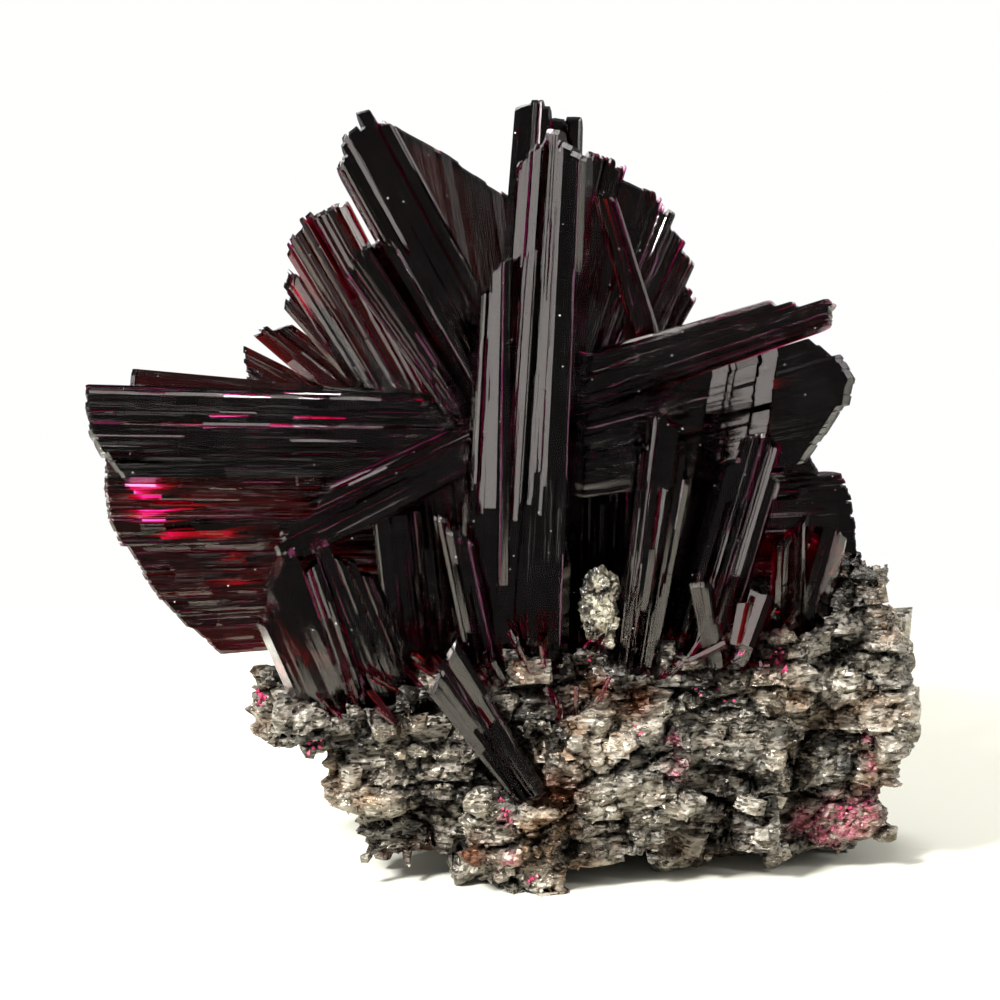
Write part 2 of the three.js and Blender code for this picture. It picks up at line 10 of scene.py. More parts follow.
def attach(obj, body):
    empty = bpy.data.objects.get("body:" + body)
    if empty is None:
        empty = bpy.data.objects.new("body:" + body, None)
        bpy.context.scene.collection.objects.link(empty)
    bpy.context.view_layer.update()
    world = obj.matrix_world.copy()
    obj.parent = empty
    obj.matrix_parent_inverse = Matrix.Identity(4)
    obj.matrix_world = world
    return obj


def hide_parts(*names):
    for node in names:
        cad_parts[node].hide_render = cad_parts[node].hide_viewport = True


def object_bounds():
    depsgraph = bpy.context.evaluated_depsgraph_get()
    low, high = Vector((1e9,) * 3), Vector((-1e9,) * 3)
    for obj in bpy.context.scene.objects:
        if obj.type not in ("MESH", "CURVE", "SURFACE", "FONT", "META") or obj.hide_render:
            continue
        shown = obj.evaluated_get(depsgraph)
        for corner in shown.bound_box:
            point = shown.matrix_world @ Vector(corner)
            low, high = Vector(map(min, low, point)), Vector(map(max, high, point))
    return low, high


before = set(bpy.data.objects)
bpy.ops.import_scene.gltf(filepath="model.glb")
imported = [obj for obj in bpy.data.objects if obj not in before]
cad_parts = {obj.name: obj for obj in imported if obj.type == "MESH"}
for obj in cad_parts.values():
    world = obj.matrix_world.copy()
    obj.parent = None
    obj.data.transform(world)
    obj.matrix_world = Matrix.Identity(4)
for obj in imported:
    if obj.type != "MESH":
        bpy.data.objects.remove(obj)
cad_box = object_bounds()

# Sizes below are in millimetres, measured from a point under the foot of the columns.
MM = 0.001
LAYOUT_SHIFT = np.array([-0.1, -3.8, 0.0])

# The photograph was taken from ten degrees above, with eighteen of its pixels to the millimetre
# at the specimen's middle.
VIEW_RISE = math.radians(10)
VIEW_DISTANCE = 240.0
VIEW_TARGET = np.array([0.0, 0.0, 20.6])
PIXELS_PER_MM = 18.0
SENSOR = 36.0
IMAGE_SIZE = 1000

# The sheaves of blades, with the name of the solid that each belongs to. root, tip: the middle of
# its two ends. faces: the way its broad faces look. width, depth: at the root and at the tip. ends:
# how far each blade's end stands past the tip, clockwise on the broad face. bevel: slope of the
# ends through the depth. ragged: how far the ends stray.
SHEAF_KEYS = ("name", "root", "tip", "faces", "width", "depth", "ends", "bevel", "ragged")
SHEAVES = [
    ("central_column", (1.5, -3.1, 12.6), (3.0, -4.9, 41.1), (-0.22, -1, 0.08),
     (4.8, 3.5), (3.6, 2.6), (-1.1, 0.1, 0.5, -0.1, -0.6), 0.25, 0.5),
    ("central_column", (-0.6, -4.0, 17.0), (-0.1, -5.4, 34.0), (-0.3, -1, 0.1),
     (2.4, 1.5), (2.6, 1.7), (-0.9, 0.3), 0.4, 0.2),
    ("rear_column", (1.2, 1.3, 12.4), (2.7, 1.6, 41.9), (-0.1, -1, 0.05),
     (5.0, 3.4), (3.6, 2.6), (-0.4, 0.5, -0.2, 0.0), 0.3, 0.7),
    ("left_front_needles", (-0.6, -2.9, 24.6), (-11.0, -6.3, 20.0), (0, -1, 0.35),
     (2.4, 3.0), (1.5, 1.7), (0.3, 0.9, 0.2, -0.9, -2.6), 0.4, 0.9),
    ("upper_left_front_fan", (-0.9, -2.3, 24.6), (-7.3, -3.5, 34.9), (0, -1, 0.15),
     (1.8, 3.1), (1.5, 1.6), (-0.2, 0.1, 0.3, 0.4, -0.3), 0.3, 0.3),
    ("upper_left_sheaf", (0.6, -0.6, 25.4), (-8.0, 1.4, 41.1), (0.1, -1, 0.2),
     (3.4, 3.7), (2.4, 2.2), (-1.3, -0.5, 0.1, 0.1, -0.6), 0.3, 0.5),
    ("left_upper_blade", (0.2, -0.2, 24.1), (-22.6, -1.5, 24.6), (-0.28, -1, 0.3),
     (4.2, 4.8), (2.1, 2.3), (-1.6, -0.7, -0.1, -0.1), -0.4, 0.12),
    ("right_needles", (3.6, -1.6, 27.0), (17.4, -3.0, 31.7), (0, -1, 0.4),
     (2.8, 2.1), (2.0, 1.6), (-2.4, -0.8, 0.5, 0.4, 0.1), 0.3, 0.5),
    ("right_blade", (3.6, -0.4, 23.0), (18.9, -1.6, 26.8), (0.15, -1, 0.24),
     (4.4, 6.5), (2.6, 3.2), (-0.8, 0.2, 0.2, -1.2, -2.7), -0.45, 0.12),
    ("front_prism_cluster", (7.4, -3.9, 12.3), (9.1, -6.0, 25.6), (0.1, -1, 0.1),
     (2.2, 3.2), (1.8, 2.2), (-1.0, 0.6, 0.2, -0.8, -2.3), 0.4, 0.6),
    ("leaning_blade", (10.8, -2.8, 12.3), (14.1, -3.6, 24.4), (0.2, -1, 0.1),
     (3.0, 3.2), (1.8, 1.5), (-1.2, 0.4, 0.1, -1.2), 0.3, 0.5),
    ("lower_left_pale_prism", (-9.2, -5.2, 9.8), (-12.2, -7.0, 17.2), (-0.75, -1, 0.05),
     (3.0, 2.9), (2.4, 2.3), (-1.4, 0.2, 1.2), 0.2, 0.2),
    ("lower_left_dark_fan", (-6.0, -4.2, 9.4), (-9.2, -6.2, 18.9), (0.1, -1, 0.1),
     (4.0, 3.4), (2.2, 2.0), (0.0, 0.7, -0.4, -1.6), 0.4, 0.4),
    ("diagonal_blade", (1.6, -6.9, 5.6), (-3.2, -8.7, 13.1), (0, -1, 0.1),
     (1.6, 2.5), (1.4, 1.4), (-0.5, 0.3), 0.5, 0.2),
    ("centre_front_blades", (-1.0, -5.7, 12.2), (-2.7, -6.5, 20.8), (-0.2, -1, 0.1),
     (1.7, 1.6), (1.2, 1.0), (0.4, -0.4, -1.4), 0.3, 0.3),
    ("left_lower_blade", (-0.4, 1.2, 17.5), (-21.4, 0.6, 17.1), (-0.15, -1, 0.05),
     (8.8, 11.0), (1.5, 1.5), (-4.8, -3.2, -2.0, -1.0, 0.0, 0.5, 0.4), -0.2, 0.1),
    ("left_top_splinter", (-0.8, 1.3, 25.1), (-20.5, 3.4, 26.8), (0, -1, 0.3),
     (1.2, 0.9), (1.4, 1.2), (0.0,), 0.3, 0),
    ("upper_left_red_fan", (-3.0, 3.6, 21.8), (-10.9, 7.0, 35.0), (-0.1, -1, 0.1),
     (3.8, 5.2), (1.8, 1.7), (-1.9, -0.3, 0.3, 0.5, 0.6, 0.2), 0.2, 0.4),
    ("left_back_fan", (-4.0, 6.0, 23.0), (-12.4, 8.6, 31.6), (0, -1, 0.1),
     (2.2, 1.5), (1.6, 1.2), (-0.6, 0.3), 0.4, 0.4),
    ("left_back_fan", (-4.4, 6.0, 22.4), (-13.4, 8.8, 29.2), (0, -1, 0.2),
     (2.4, 1.6), (1.6, 1.2), (0.4, -0.7), 0.4, 0.4),
    ("left_back_fan", (-4.2, 6.0, 21.6), (-14.6, 9.0, 27.0), (0, -1, 0.3),
     (2.4, 1.4), (1.5, 1.2), (-0.3, 0.3), 0.4, 0.3),
    ("upper_back_blade", (0.4, 4.4, 21.5), (-2.8, 8.0, 38.8), (0.1, -1, 0.1),
     (4.4, 6.2), (2.0, 1.8), (2.3, 1.1, 0.0, -1.3, -2.5), 0.2, 0.1),
    ("upper_right_fan", (3.6, 3.2, 22.8), (9.0, 6.3, 36.9), (0.15, -1, 0.1),
     (4.4, 9.0), (2.4, 2.2), (0.4, 0.5, -0.2, 0.1, -0.3, -1.3, -2.7, -4.2), 0.25, 0.6),
    ("right_front_needle", (8.4, -0.9, 28.6), (5.7, -2.0, 37.8), (0.4, -1, 0.1),
     (1.2, 0.9), (0.9, 0.8), (0.1, -0.1), 0.3, 0.2),
    ("right_lower_fan", (5.4, 2.4, 18.8), (19.6, 3.6, 19.3), (0.1, -1, 0.05),
     (5.4, 7.2), (2.2, 2.2), (-1.7, -0.5, 0.0, 0.1, 0.2), 0.3, 0.4),
    ("right_gem_crystals", (15.9, -1.6, 13.2), (16.0, -2.9, 19.6), (0.5, -1, 0),
     (1.8, 1.7), (1.6, 1.4), (-0.9, 0.4), 0.6, 0.1),
    ("right_gem_crystals", (16.9, -1.0, 13.2), (18.3, -1.4, 19.0), (-0.3, -1, 0),
     (1.6, 1.4), (1.5, 1.3), (0.0,), 0.6, 0),
    ("front_small_crystal_right", (13.1, -4.5, 12.3), (14.1, -5.4, 16.7), (0.3, -1, 0.1),
     (0.9, 1.1), (0.8, 0.7), (-0.4,), 0.7, 0),
    ("front_small_crystal_left", (11.9, -4.6, 12.3), (11.0, -5.4, 17.0), (-0.3, -1, 0.1),
     (0.8, 0.9), (0.8, 0.7), (0.0,), 0.7, 0),
    ("lower_centre_blades", (-3.0, -0.8, 9.8), (-4.2, -1.4, 21.4), (0, -1, 0.1),
     (5.6, 5.6), (2.8, 2.2), (-1.8, -0.5, 0.4, 0.9), 0.3, 0.8),
    ("lower_right_blades", (9.0, 0.6, 12.2), (9.6, 0.2, 23.6), (0.1, -1, 0.1),
     (8.6, 9.6), (2.6, 2.2), (-0.8, 0.6, -0.2, 0.5, -1.6), 0.3, 0.8),
    ("rear_upper_fan", (2.0, 5.6, 15.0), (3.4, 15.0, 31.0), (0, 1, -0.4),
     (4.2, 7.0), (2.2, 2.0), (-1.5, 0.2, 0.9, 0.3, -0.8), 0.2, 0.6),
    ("rear_left_fan", (-1.6, 5.0, 14.4), (-11.6, 13.0, 23.0), (0.3, 1, -0.5),
     (4.0, 6.4), (2.2, 1.9), (-0.6, 0.8, 0.5, -0.4, -1.9), 0.2, 0.6),
    ("rear_right_fan", (6.4, 5.2, 14.6), (15.4, 12.6, 24.4), (-0.3, 1, -0.5),
     (4.0, 6.6), (2.2, 1.9), (-1.7, -0.2, 0.7, 0.4, -0.9), 0.2, 0.6),
    ("rear_low_blades", (2.6, 6.4, 12.0), (3.6, 15.6, 18.6), (0.2, 0.6, -1),
     (3.4, 4.6), (1.8, 1.6), (-1.2, 0.4, 0.7, -0.7), 0.2, 0.6),
]

# How the surface of some crystals differs from the plain one. Places along a sheaf run from 0 at
# its root to 1, places across it from -1 to 1, lengths are millimetres and leans are radians.
# stripe, step: usual width of a lamella and length of a growth step. tilt: how far the lamellae
# lean. lines: share of them that lean far enough to mirror the light. lean: how far all of them
# lean towards the light. turn: parts of the face (from and to along, from and to across) where the
# last number takes the place of lean. faces: the way the broad faces look, instead of the solid's.
# facets: parts of the front that are cut flat, with their slope towards the light. rim, rim_width:
# how full the two edges are and how wide they are. thin: share of the solid's depth. extend: extra
# length. chamfer: length of the slope at the ends. blunt: how full the ends stay, in front and
# behind. bevel: share of the solid's bevel. panel: slope of the wide growth steps past panel_from,
# whose edges run askew by slant. windows: thin spots, each from and to along the blade (counted
# from its end), from and to across it, and the thickness that is left.
PLAIN_LOOK = dict(
    stripe=0.15, step=3.0, tilt=0.12, lines=0.1, lean=0.0, turn=[], facets=[], rim=0.7,
    rim_width=0.25, thin=1.0, extend=0.0, chamfer=0.3, blunt=(0.5, 0.5), bevel=1.0, panel=0.0,
    panel_from=0.0, slant=0.0, faces=None, windows=[],
)
LOOKS = {
    "central_column": dict(
        stripe=0.17, step=4.5, tilt=0.05, lines=0.03, blunt=(0.6, 0.6),
        turn=[(0.25, 1.0, -1.0, 0.5, 0.24), (0.0, 0.25, -1.0, 1.0, -0.3),
            (0.25, 1.0, 0.5, 1.0, -0.3)],
    ),
    "rear_column": dict(stripe=0.18, step=5.0, tilt=0.1, lines=0.06),
    "left_upper_blade": dict(
        stripe=0.13, step=2.2, tilt=0.08, lines=0.12, rim=1.0, extend=0.3, chamfer=0.2,
        blunt=(0.7, 0.95), bevel=0.0,
    ),
    "left_lower_blade": dict(
        stripe=0.12, step=1.5, tilt=0.14, lines=0.12, rim=0.8, thin=0.75, chamfer=0.2,
        blunt=(0.65, 0.9), bevel=0.0,
        windows=[(-3.2, -0.7, 0.6, 0.84, 0.2), (-3.4, -0.9, 0.38, 0.52, 0.2),
            (-3.6, -1.8, 0.2, 0.3, 0.35), (-6.0, -3.2, 0.5, 0.58, 0.6), (-7.0, -4.0, 0.2, 0.3, 0.6),
            (-6.5, -4.5, -0.05, 0.06, 0.6), (-9.0, -7.0, 0.02, 0.12, 0.7),
            (-5.2, -3.0, -0.3, -0.2, 0.55)],
    ),
    "right_blade": dict(
        stripe=0.2, step=1.2, tilt=0.05, lines=0.0, rim=1.0, extend=0.3, chamfer=0.3,
        blunt=(0.75, 0.9), bevel=0.0, panel=0.42, panel_from=0.6, slant=-0.45,
        turn=[(0.0, 0.6, -1.0, 1.0, -0.2), (0.45, 0.62, 0.08, 0.16, 0.7),
            (0.72, 0.9, -0.12, -0.04, 0.7)],
        windows=[(-2.6, -0.5, -0.9, 0.6, 0.8), (-4.6, -3.6, -0.6, 0.5, 0.8)],
    ),
    "right_needles": dict(stripe=0.1, step=4.0, tilt=0.1, lines=0.2, lean=-0.25, rim=0.9),
    "left_front_needles": dict(stripe=0.1, step=3.0, tilt=0.12, lines=0.25, lean=-0.2, rim=0.9),
    "upper_left_sheaf": dict(stripe=0.15, step=8.0, tilt=0.07, lines=0.1, lean=-0.08),
    "upper_left_front_fan": dict(stripe=0.1, step=6.0, tilt=0.08, lines=0.2, lean=-0.12),
    "upper_left_red_fan": dict(
        stripe=0.16, step=6.0, tilt=0.12, lines=0.12, rim=0.3, rim_width=0.9, thin=0.7,
        windows=[(-4.0, -1.0, -1.0, -0.7, 0.45), (-2.4, -0.6, -0.6, -0.4, 0.5)],
    ),
    "upper_back_blade": dict(stripe=0.4, step=6.0, tilt=0.03, lines=0.0, thin=0.8),
    "upper_right_fan": dict(stripe=0.14, step=4.0, tilt=0.1, lines=0.06, thin=0.85),
    "front_prism_cluster": dict(stripe=0.13, step=3.5, tilt=0.15, lines=0.28, lean=0.05),
    "centre_front_blades": dict(
        stripe=0.15, step=3.0, tilt=0.08, turn=[(0.4, 0.95, -1.0, 0.0, 0.3)],
    ),
    "diagonal_blade": dict(
        stripe=0.3, step=4.0, tilt=0.05, lines=0.0, blunt=(0.7, 0.7),
        turn=[(0.0, 0.5, -1.0, 1.0, -0.3)], facets=[(0.55, 1.0, 0.1, 0.9, 0.3)],
    ),
    "lower_right_blades": dict(stripe=0.16, step=3.0, tilt=0.1, lines=0.06, lean=-0.15),
    "lower_centre_blades": dict(stripe=0.13, step=3.0, tilt=0.1, lines=0.06, lean=-0.15),
    "leaning_blade": dict(
        stripe=0.16, step=4.0, tilt=0.06, lines=0.1,
        facets=[(0.1, 0.62, -0.5, 0.05, 0.6), (0.45, 0.95, 0.1, 0.6, 0.6)],
    ),
    "lower_left_pale_prism": dict(
        stripe=0.3, step=6.0, tilt=0.05, lines=0.0, rim=1.0, blunt=(0.9, 0.9),
        faces=(0.3, -1, 0.05),
        windows=[(-3.4, -2.3, -0.6, 0.1, 0.6), (-4.8, -3.7, -0.6, 0.1, 0.6),
            (-6.4, -5.2, -0.6, 0.1, 0.6)],
    ),
    "lower_left_dark_fan": dict(stripe=0.15, step=4.0, tilt=0.1, lines=0.12, lean=-0.2),
    "right_gem_crystals": dict(
        stripe=0.4, step=4.0, tilt=0.05, lines=0.0, lean=-0.45, rim=0.3, rim_width=0.4,
        blunt=(0.9, 0.9), windows=[(-3.2, -0.5, 0.35, 0.9, 0.35), (-2.2, -0.8, -0.9, -0.4, 0.35)],
    ),
    "front_small_crystal_right": dict(
        stripe=0.3, step=8.0, tilt=0.02, lines=0.0, blunt=(0.8, 0.8), faces=(-0.5, -1, 0.1),
    ),
    "front_small_crystal_left": dict(
        stripe=0.3, step=8.0, tilt=0.02, lines=0.0, blunt=(0.8, 0.8), faces=(-0.4, -1, 0.1),
    ),
    "left_top_splinter": dict(
        stripe=0.3, step=6.0, tilt=0.1, rim=0.8, blunt=(0.8, 0.8),
        windows=[(-2.4, -1.0, -1.0, 1.0, 0.35)],
    ),
}

# The same figures as in the solids: how blades overlap, how steep an end is, how places stray.
BLADE_OVERLAP = 1.3
STEEPEST_END = 1.1
STRAY_DEPTH = 0.22
STRAY_SIZE = 0.16

# Lamellae: spread of their widths, relief of a step, thinnest crystal, share of steps that show,
# the most that an edge is raised or sunk by a lean, how much a lamella dips along its length, the
# lean of the ones that mirror the light, and the side where the light is.
STRIPE_SPREAD = 0.6
RELIEF = 0.06
THINNEST = 0.12
STEP_SHARE = 0.45
MOST_LEAN = 0.25
DRIFT = 0.02
LINE_LEAN = (0.45, 0.8)
LIGHT_SIDE = np.array([-0.6, 0.0, 0.8])

# How much of the tilt changes from one growth step to the next. How far the breaks between the
# steps stray and how near to the ends they come, as shares of the length, and the gap before the
# slope of the end. The share of lamellae that end early, and by how much. The slopes of wide
# panels, and how much of it the last one has.
TILT_IN_STEPS = 0.6
BREAK_STRAY = 0.4
FIRST_BREAK, LAST_BREAK = 0.01, 1.1
SHOULDER_GAP = 0.05
SHORT_SHARE = 0.35
SHORT_LEAST, SHORT_RAGGED = 0.12, 0.5
PANEL_SLOPES = (0.5, 1.0)
LAST_PANEL = 0.4


def scatter(item, aspect):
    """A repeatable scatter between -1 and 1 from two whole numbers."""
    wave = math.sin(item * 12.9898 + aspect * 78.233) * 43758.5453
    return 2 * (wave - math.floor(wave)) - 1


def seed_of(name):
    """A whole number drawn from a name, so that each crystal has a scatter of its own."""
    total = 0
    for letter in name:
        total = (total * 31 + ord(letter)) % 9973
    return total


def unit(vector):
    return vector / np.linalg.norm(vector)


def sheaves_of(name):
    """The sheaves that belong to one solid."""
    specs = [dict(zip(SHEAF_KEYS, row)) for row in SHEAVES if row[0] == name]
    for spec in specs:
        for key in ("root", "tip", "faces"):
            spec[key] = np.array(spec[key], float)
    return specs


def axes_of(spec):
    """Along the sheaf, through its broad face and across its broad face."""
    along = unit(spec["tip"] - spec["root"])
    through = unit(spec["faces"] - along * np.dot(spec["faces"], along))
    return along, through, np.cross(along, through)


def new_object(name, data):
    made = bpy.data.objects.new(name, data)
    bpy.context.scene.collection.objects.link(made)
    return made


def new_mesh_object(name, vertices, faces):
    mesh = bpy.data.meshes.new(name)
    mesh.from_pydata(vertices.tolist(), [], faces)
    return new_object(name, mesh)


def moved(faces, base):
    """The same faces with their corners counted from base."""
    return [tuple(base + corner for corner in face) for face in faces]


def blade_figures(spec, seed):
    """Place across, reach, slope, stray through the depth and thickness of each blade."""
    ends = spec["ends"]
    count = len(ends)
    last = count - 1
    blades = []
    for place, end in enumerate(ends):
        item = seed + place
        before = ends[max(place - 1, 0)]
        after = ends[min(place + 1, last)]
        pitch = spec["width"][1] / count * (2 if 0 < place < last else 1)
        slope = min(max((after - before) / pitch, -STEEPEST_END), STEEPEST_END)
        blades.append({
            "side": (place + 0.5) / count * 2 - 1,
            "reach": end + scatter(item, 3) * spec["ragged"],
            "slope": slope * (1 - min(spec["ragged"], 1)),
            "stray": scatter(item, 1) * STRAY_DEPTH,
            "thickness": 1 + scatter(item, 2) * STRAY_SIZE,
        })
    return blades


def growth_breaks(rng, look, cells, middles, half_tip, length):
    """Where the growth steps of each lamella break, as shares of its length."""
    lanes = 1 if look["panel"] else len(middles)
    stray = rng.uniform(-BREAK_STRAY, BREAK_STRAY, (cells - 1, lanes))
    breaks = np.arange(1, cells)[:, None] + stray
    breaks = breaks / cells + look["slant"] * middles * half_tip / length
    return np.sort(np.clip(breaks, FIRST_BREAK, LAST_BREAK), axis=0)


def lamella_leans(rng, look, cells, breadth, turned, towards):
    """How far the two edges of each lamella lean in each growth step."""
    stripes = len(breadth)
    lean = rng.normal(0, look["tilt"], (cells, stripes)) * TILT_IN_STEPS
    lean += rng.normal(0, look["tilt"], stripes) + turned
    bright = rng.random((cells, stripes)) < look["lines"] / 2
    bright |= rng.random(stripes) < look["lines"] / 2
    lean = np.where(bright, rng.uniform(*LINE_LEAN, (cells, stripes)), lean)
    return np.clip(towards * lean * breadth / 2, -MOST_LEAN, MOST_LEAN)


def facet_drop(look, position, length, sides, half_tip, towards):
    """How much deeper than the plain face the flat facets of a sheaf lie."""
    drop = np.zeros(len(sides))
    for first, last, low, high, slope in look["facets"]:
        inside = (position > first * length) & (position < last * length)
        inside &= (sides > low) & (sides < high)
        descends_right = (slope > 0) == (towards < 0)
        away = sides - low if descends_right else high - sides
        drop += inside * abs(slope) * away * half_tip
    return drop


def striated_sheaf(spec, look, seed):
    """Vertices, faces and uv of one closed sheaf whose broad faces are stepped lamellae."""
    rng = np.random.default_rng(seed)
    along, through, across = axes_of(spec)
    length = np.linalg.norm(spec["tip"] - spec["root"])
    blades = blade_figures(spec, seed)
    spread = 1 + (BLADE_OVERLAP - 1) / len(blades)
    half_tip = spec["width"][1] * spread / 2
    stripes = max(4, round(half_tip * 2 / look["stripe"]))
    shares = np.exp(rng.normal(0, STRIPE_SPREAD, stripes))
    edges = np.concatenate([[0], np.cumsum(shares)]) / shares.sum() * 2 - 1
    middles = (edges[1:] + edges[:-1]) / 2
    breadth = (edges[1:] - edges[:-1]) * half_tip
    which = np.minimum((middles + 1) / 2 * len(blades), len(blades) - 1).astype(int)
    stray = np.array([blades[k]["stray"] for k in which])
    thickness = np.array([blades[k]["thickness"] for k in which])
    cells = max(2, round(length / look["step"]))
    rows = 2 * cells + 1

    # Each stripe has a left and a right column on the front, and the same on the back.
    sides = np.repeat(edges, 2)[1:-1]
    stripe = np.repeat(np.arange(stripes), 2)
    reach = np.array([blades[k]["reach"] + blades[k]["slope"] * (s - blades[k]["side"]) * half_tip
                      for k, s in zip(which[stripe], sides)])
    cut = np.where(rng.random(stripes) < SHORT_SHARE, rng.random(stripes), 0)
    cut *= SHORT_LEAST + SHORT_RAGGED * spec["ragged"]
    end = length + look["extend"] + reach - cut[stripe]

    inset = (1 - np.abs(sides)) * half_tip
    rim = 1 - (1 - look["rim"]) * np.clip(1 - inset / look["rim_width"], 0, 1)
    towards = -1 if np.dot(across, LIGHT_SIDE) > 0 else 1
    turned = np.full((cells, stripes), look["lean"])
    shares_along = (np.arange(cells)[:, None] + 0.5) / cells
    for first, last, low, high, angle in look["turn"]:
        lengthwise = (shares_along > first) & (shares_along < last)
        turned[lengthwise & (middles > low) & (middles < high)] = angle
    turn = np.where(np.arange(len(sides)) % 2 == 0, -1, 1)

    shoulder = end - look["chamfer"]
    cap_slope = look["bevel"] * spec["bevel"]
    furthest = shoulder - SHOULDER_GAP - abs(cap_slope) * max(spec["depth"])
    span = np.full(len(sides), shoulder.min()) if look["panel"] else end
    faces_of = []
    for sign in (1, -1):
        relief = rng.normal(0, RELIEF, stripes)
        shown = rng.random((cells, stripes)) < STEP_SHARE
        steps = rng.normal(0, RELIEF, (cells, stripes)) * shown
        breaks = growth_breaks(rng, look, cells, middles, half_tip, length)
        lean = lamella_leans(rng, look, cells, breadth, turned, towards)
        drift = rng.normal(0, DRIFT, (cells, stripes))
        panels = rng.uniform(*PANEL_SLOPES, (cells, 1)) * (shares_along > look["panel_from"])
        panels[-1] *= LAST_PANEL
        here = np.zeros((rows, len(sides), 2))
        for cell in range(cells):
            start, stop = span * 0, shoulder
            if cell > 0:
                start = np.minimum(breaks[cell - 1][stripe] * span, furthest)
            if cell < cells - 1:
                stop = np.minimum(breaks[cell][stripe] * span, furthest)
            offset = relief[stripe] + steps[cell][stripe] + lean[cell][stripe] * turn
            slope = panels[cell] * look["panel"] * np.maximum(stop - start, 0) / 2
            slope += drift[cell][stripe]
            for row, position, rise in ((2 * cell, start, -1), (2 * cell + 1, stop, 1)):
                share = position / length
                half = (spec["depth"][0] + (spec["depth"][1] - spec["depth"][0]) * share) / 2
                half *= look["thin"]
                plain = half * thickness[stripe] * rim
                cut_face = facet_drop(look, (start + stop) / 2, length, sides, half_tip, towards)
                deep = plain + offset + rise * slope - cut_face * (sign > 0)
                deep = np.maximum(deep, THINNEST)
                if sign < 0:
                    for first, last, low, high, left in look["windows"]:
                        inside = (position > end + first) & (position < end + last)
                        inside &= (sides > low) & (sides < high)
                        deep = np.where(inside, left - plain + cut_face, deep)
                here[row] = np.stack([position, deep], 1)
        blunt = look["blunt"][0 if sign > 0 else 1]
        here[rows - 1] = np.stack([end, here[rows - 2, :, 1] * blunt], 1)
        here[rows - 2:, :, 0] += sign * cap_slope * here[rows - 2:, :, 1]
        faces_of.append(here)

    front, back = faces_of

    def placed(face, sign):
        share = face[:, :, 0] / length
        width = spec["width"][0] + (spec["width"][1] - spec["width"][0]) * share
        wide = width * spread / 2 * sides
        deep = sign * face[:, :, 1] + stray[stripe]
        return (spec["root"] + face[:, :, 0, None] * along
                + wide[:, :, None] * across + deep[:, :, None] * through)

    ring = np.concatenate([placed(front, 1), placed(back, -1)[:, ::-1]], axis=1)
    around = ring.shape[1]
    vertices = (ring.reshape(-1, 3) + LAYOUT_SHIFT) * MM
    faces = []
    for row in range(rows - 1):
        here = row * around
        for column in range(around):
            right = (column + 1) % around
            faces.append((here + column, here + right,
                          here + around + right, here + around + column))
    top = (rows - 1) * around
    for column in range(len(sides) - 1):
        far = around - 1 - column
        faces.append((top + column, top + column + 1, top + far - 1, top + far))
        faces.append((far, far - 1, column + 1, column))
    lengths = np.concatenate([front[:, :, 0], back[:, ::-1, 0]], axis=1).reshape(-1)
    widths = np.tile(np.concatenate([sides, sides[::-1] + 2.5]) * half_tip, rows)
    return vertices, faces, np.stack([lengths, widths], 1) * MM


def cleaned(piece):
    """Merges the corners that meet and drops faces with no area."""
    work = bmesh.new()
    work.from_mesh(piece.data)
    bmesh.ops.remove_doubles(work, verts=work.verts, dist=2e-6)
    bmesh.ops.dissolve_degenerate(work, edges=work.edges, dist=1e-6)
    work.to_mesh(piece.data)
    work.free()


def crystal_piece(name):
    look = {**PLAIN_LOOK, **LOOKS.get(name, {})}
    vertices, faces, uvs = [], [], []
    count = 0
    for index, spec in enumerate(sheaves_of(name)):
        if look["faces"]:
            spec["faces"] = np.array(look["faces"])
        points, quads, uv = striated_sheaf(spec, look, seed_of(name) + index * 211)
        vertices.append(points)
        faces.extend(moved(quads, count))
        uvs.append(uv)
        count += len(points)
    piece = new_mesh_object(name + "_crystal", np.concatenate(vertices), faces)
    set_uv(piece, np.concatenate(uvs))
    cleaned(piece)
    return piece


def set_uv(piece, uv_of_vertex):
    layer = piece.data.uv_layers.new(name="along_blade")
    loops = np.empty(len(piece.data.loops), int)
    piece.data.loops.foreach_get("vertex_index", loops)
    layer.data.foreach_set("uv", uv_of_vertex[loops].astype(np.float32).reshape(-1))


def tree_of(*pieces):
    """A tree for finding the nearest place or the first hit on some pieces, in metres."""
    vertices, polygons = [], []
    for piece in pieces:
        base = len(vertices)
        vertices.extend(vertex.co.copy() for vertex in piece.data.vertices)
        polygons.extend(moved((face.vertices for face in piece.data.polygons), base))
    return BVHTree.FromPolygons(vertices, polygons)


# Rock

# Spacing of the fine mesh, and how it breaks in blocks, chips and grit. For each of these: size,
# shift and seed of the lattice, how far the blocks stand out and tilt, depth and width of the
# cracks between them, how much their shade differs, and how dark and wide the painted shade along
# the cracks is. The shade of the blocks and chips goes with how far they stand out: painted light
# on the raised ones, painted shade on the sunk ones. The shade of the grit differs at random.
ROCK_VOXEL = 0.185
ROCK_WARP = (0.8, 0.8, 0.5)
ROCK_SCALES = [
    dict(size=(4.2, 4.2, 2.3), shift=0.0, seed=20, lift=0.42, tilt=0.9, crack=0.9,
         crack_width=0.03, shade=0.26, shade_seed=31, dark=0.6, crack_shade_width=0.05),
    dict(size=(1.5, 1.5, 0.8), shift=7.3, seed=50, lift=0.14, tilt=0.5, crack=0.22,
         crack_width=0.05, shade=0.2, shade_seed=61, dark=0.3, crack_shade_width=0.07),
    dict(size=(0.5, 0.5, 0.34), shift=3.1, seed=150, lift=0.03, tilt=0.09, crack=0.0,
         crack_width=0.05, shade=0.16, shade_seed=165, dark=0.15, crack_shade_width=0.08),
]

# Laminae: number to the millimetre, how far they wave up and down and how far they stand out.
LAMINAE_PER_MM = 1.5
LAMINA_WAVE = 0.8
LAMINA_RELIEF = 0.18

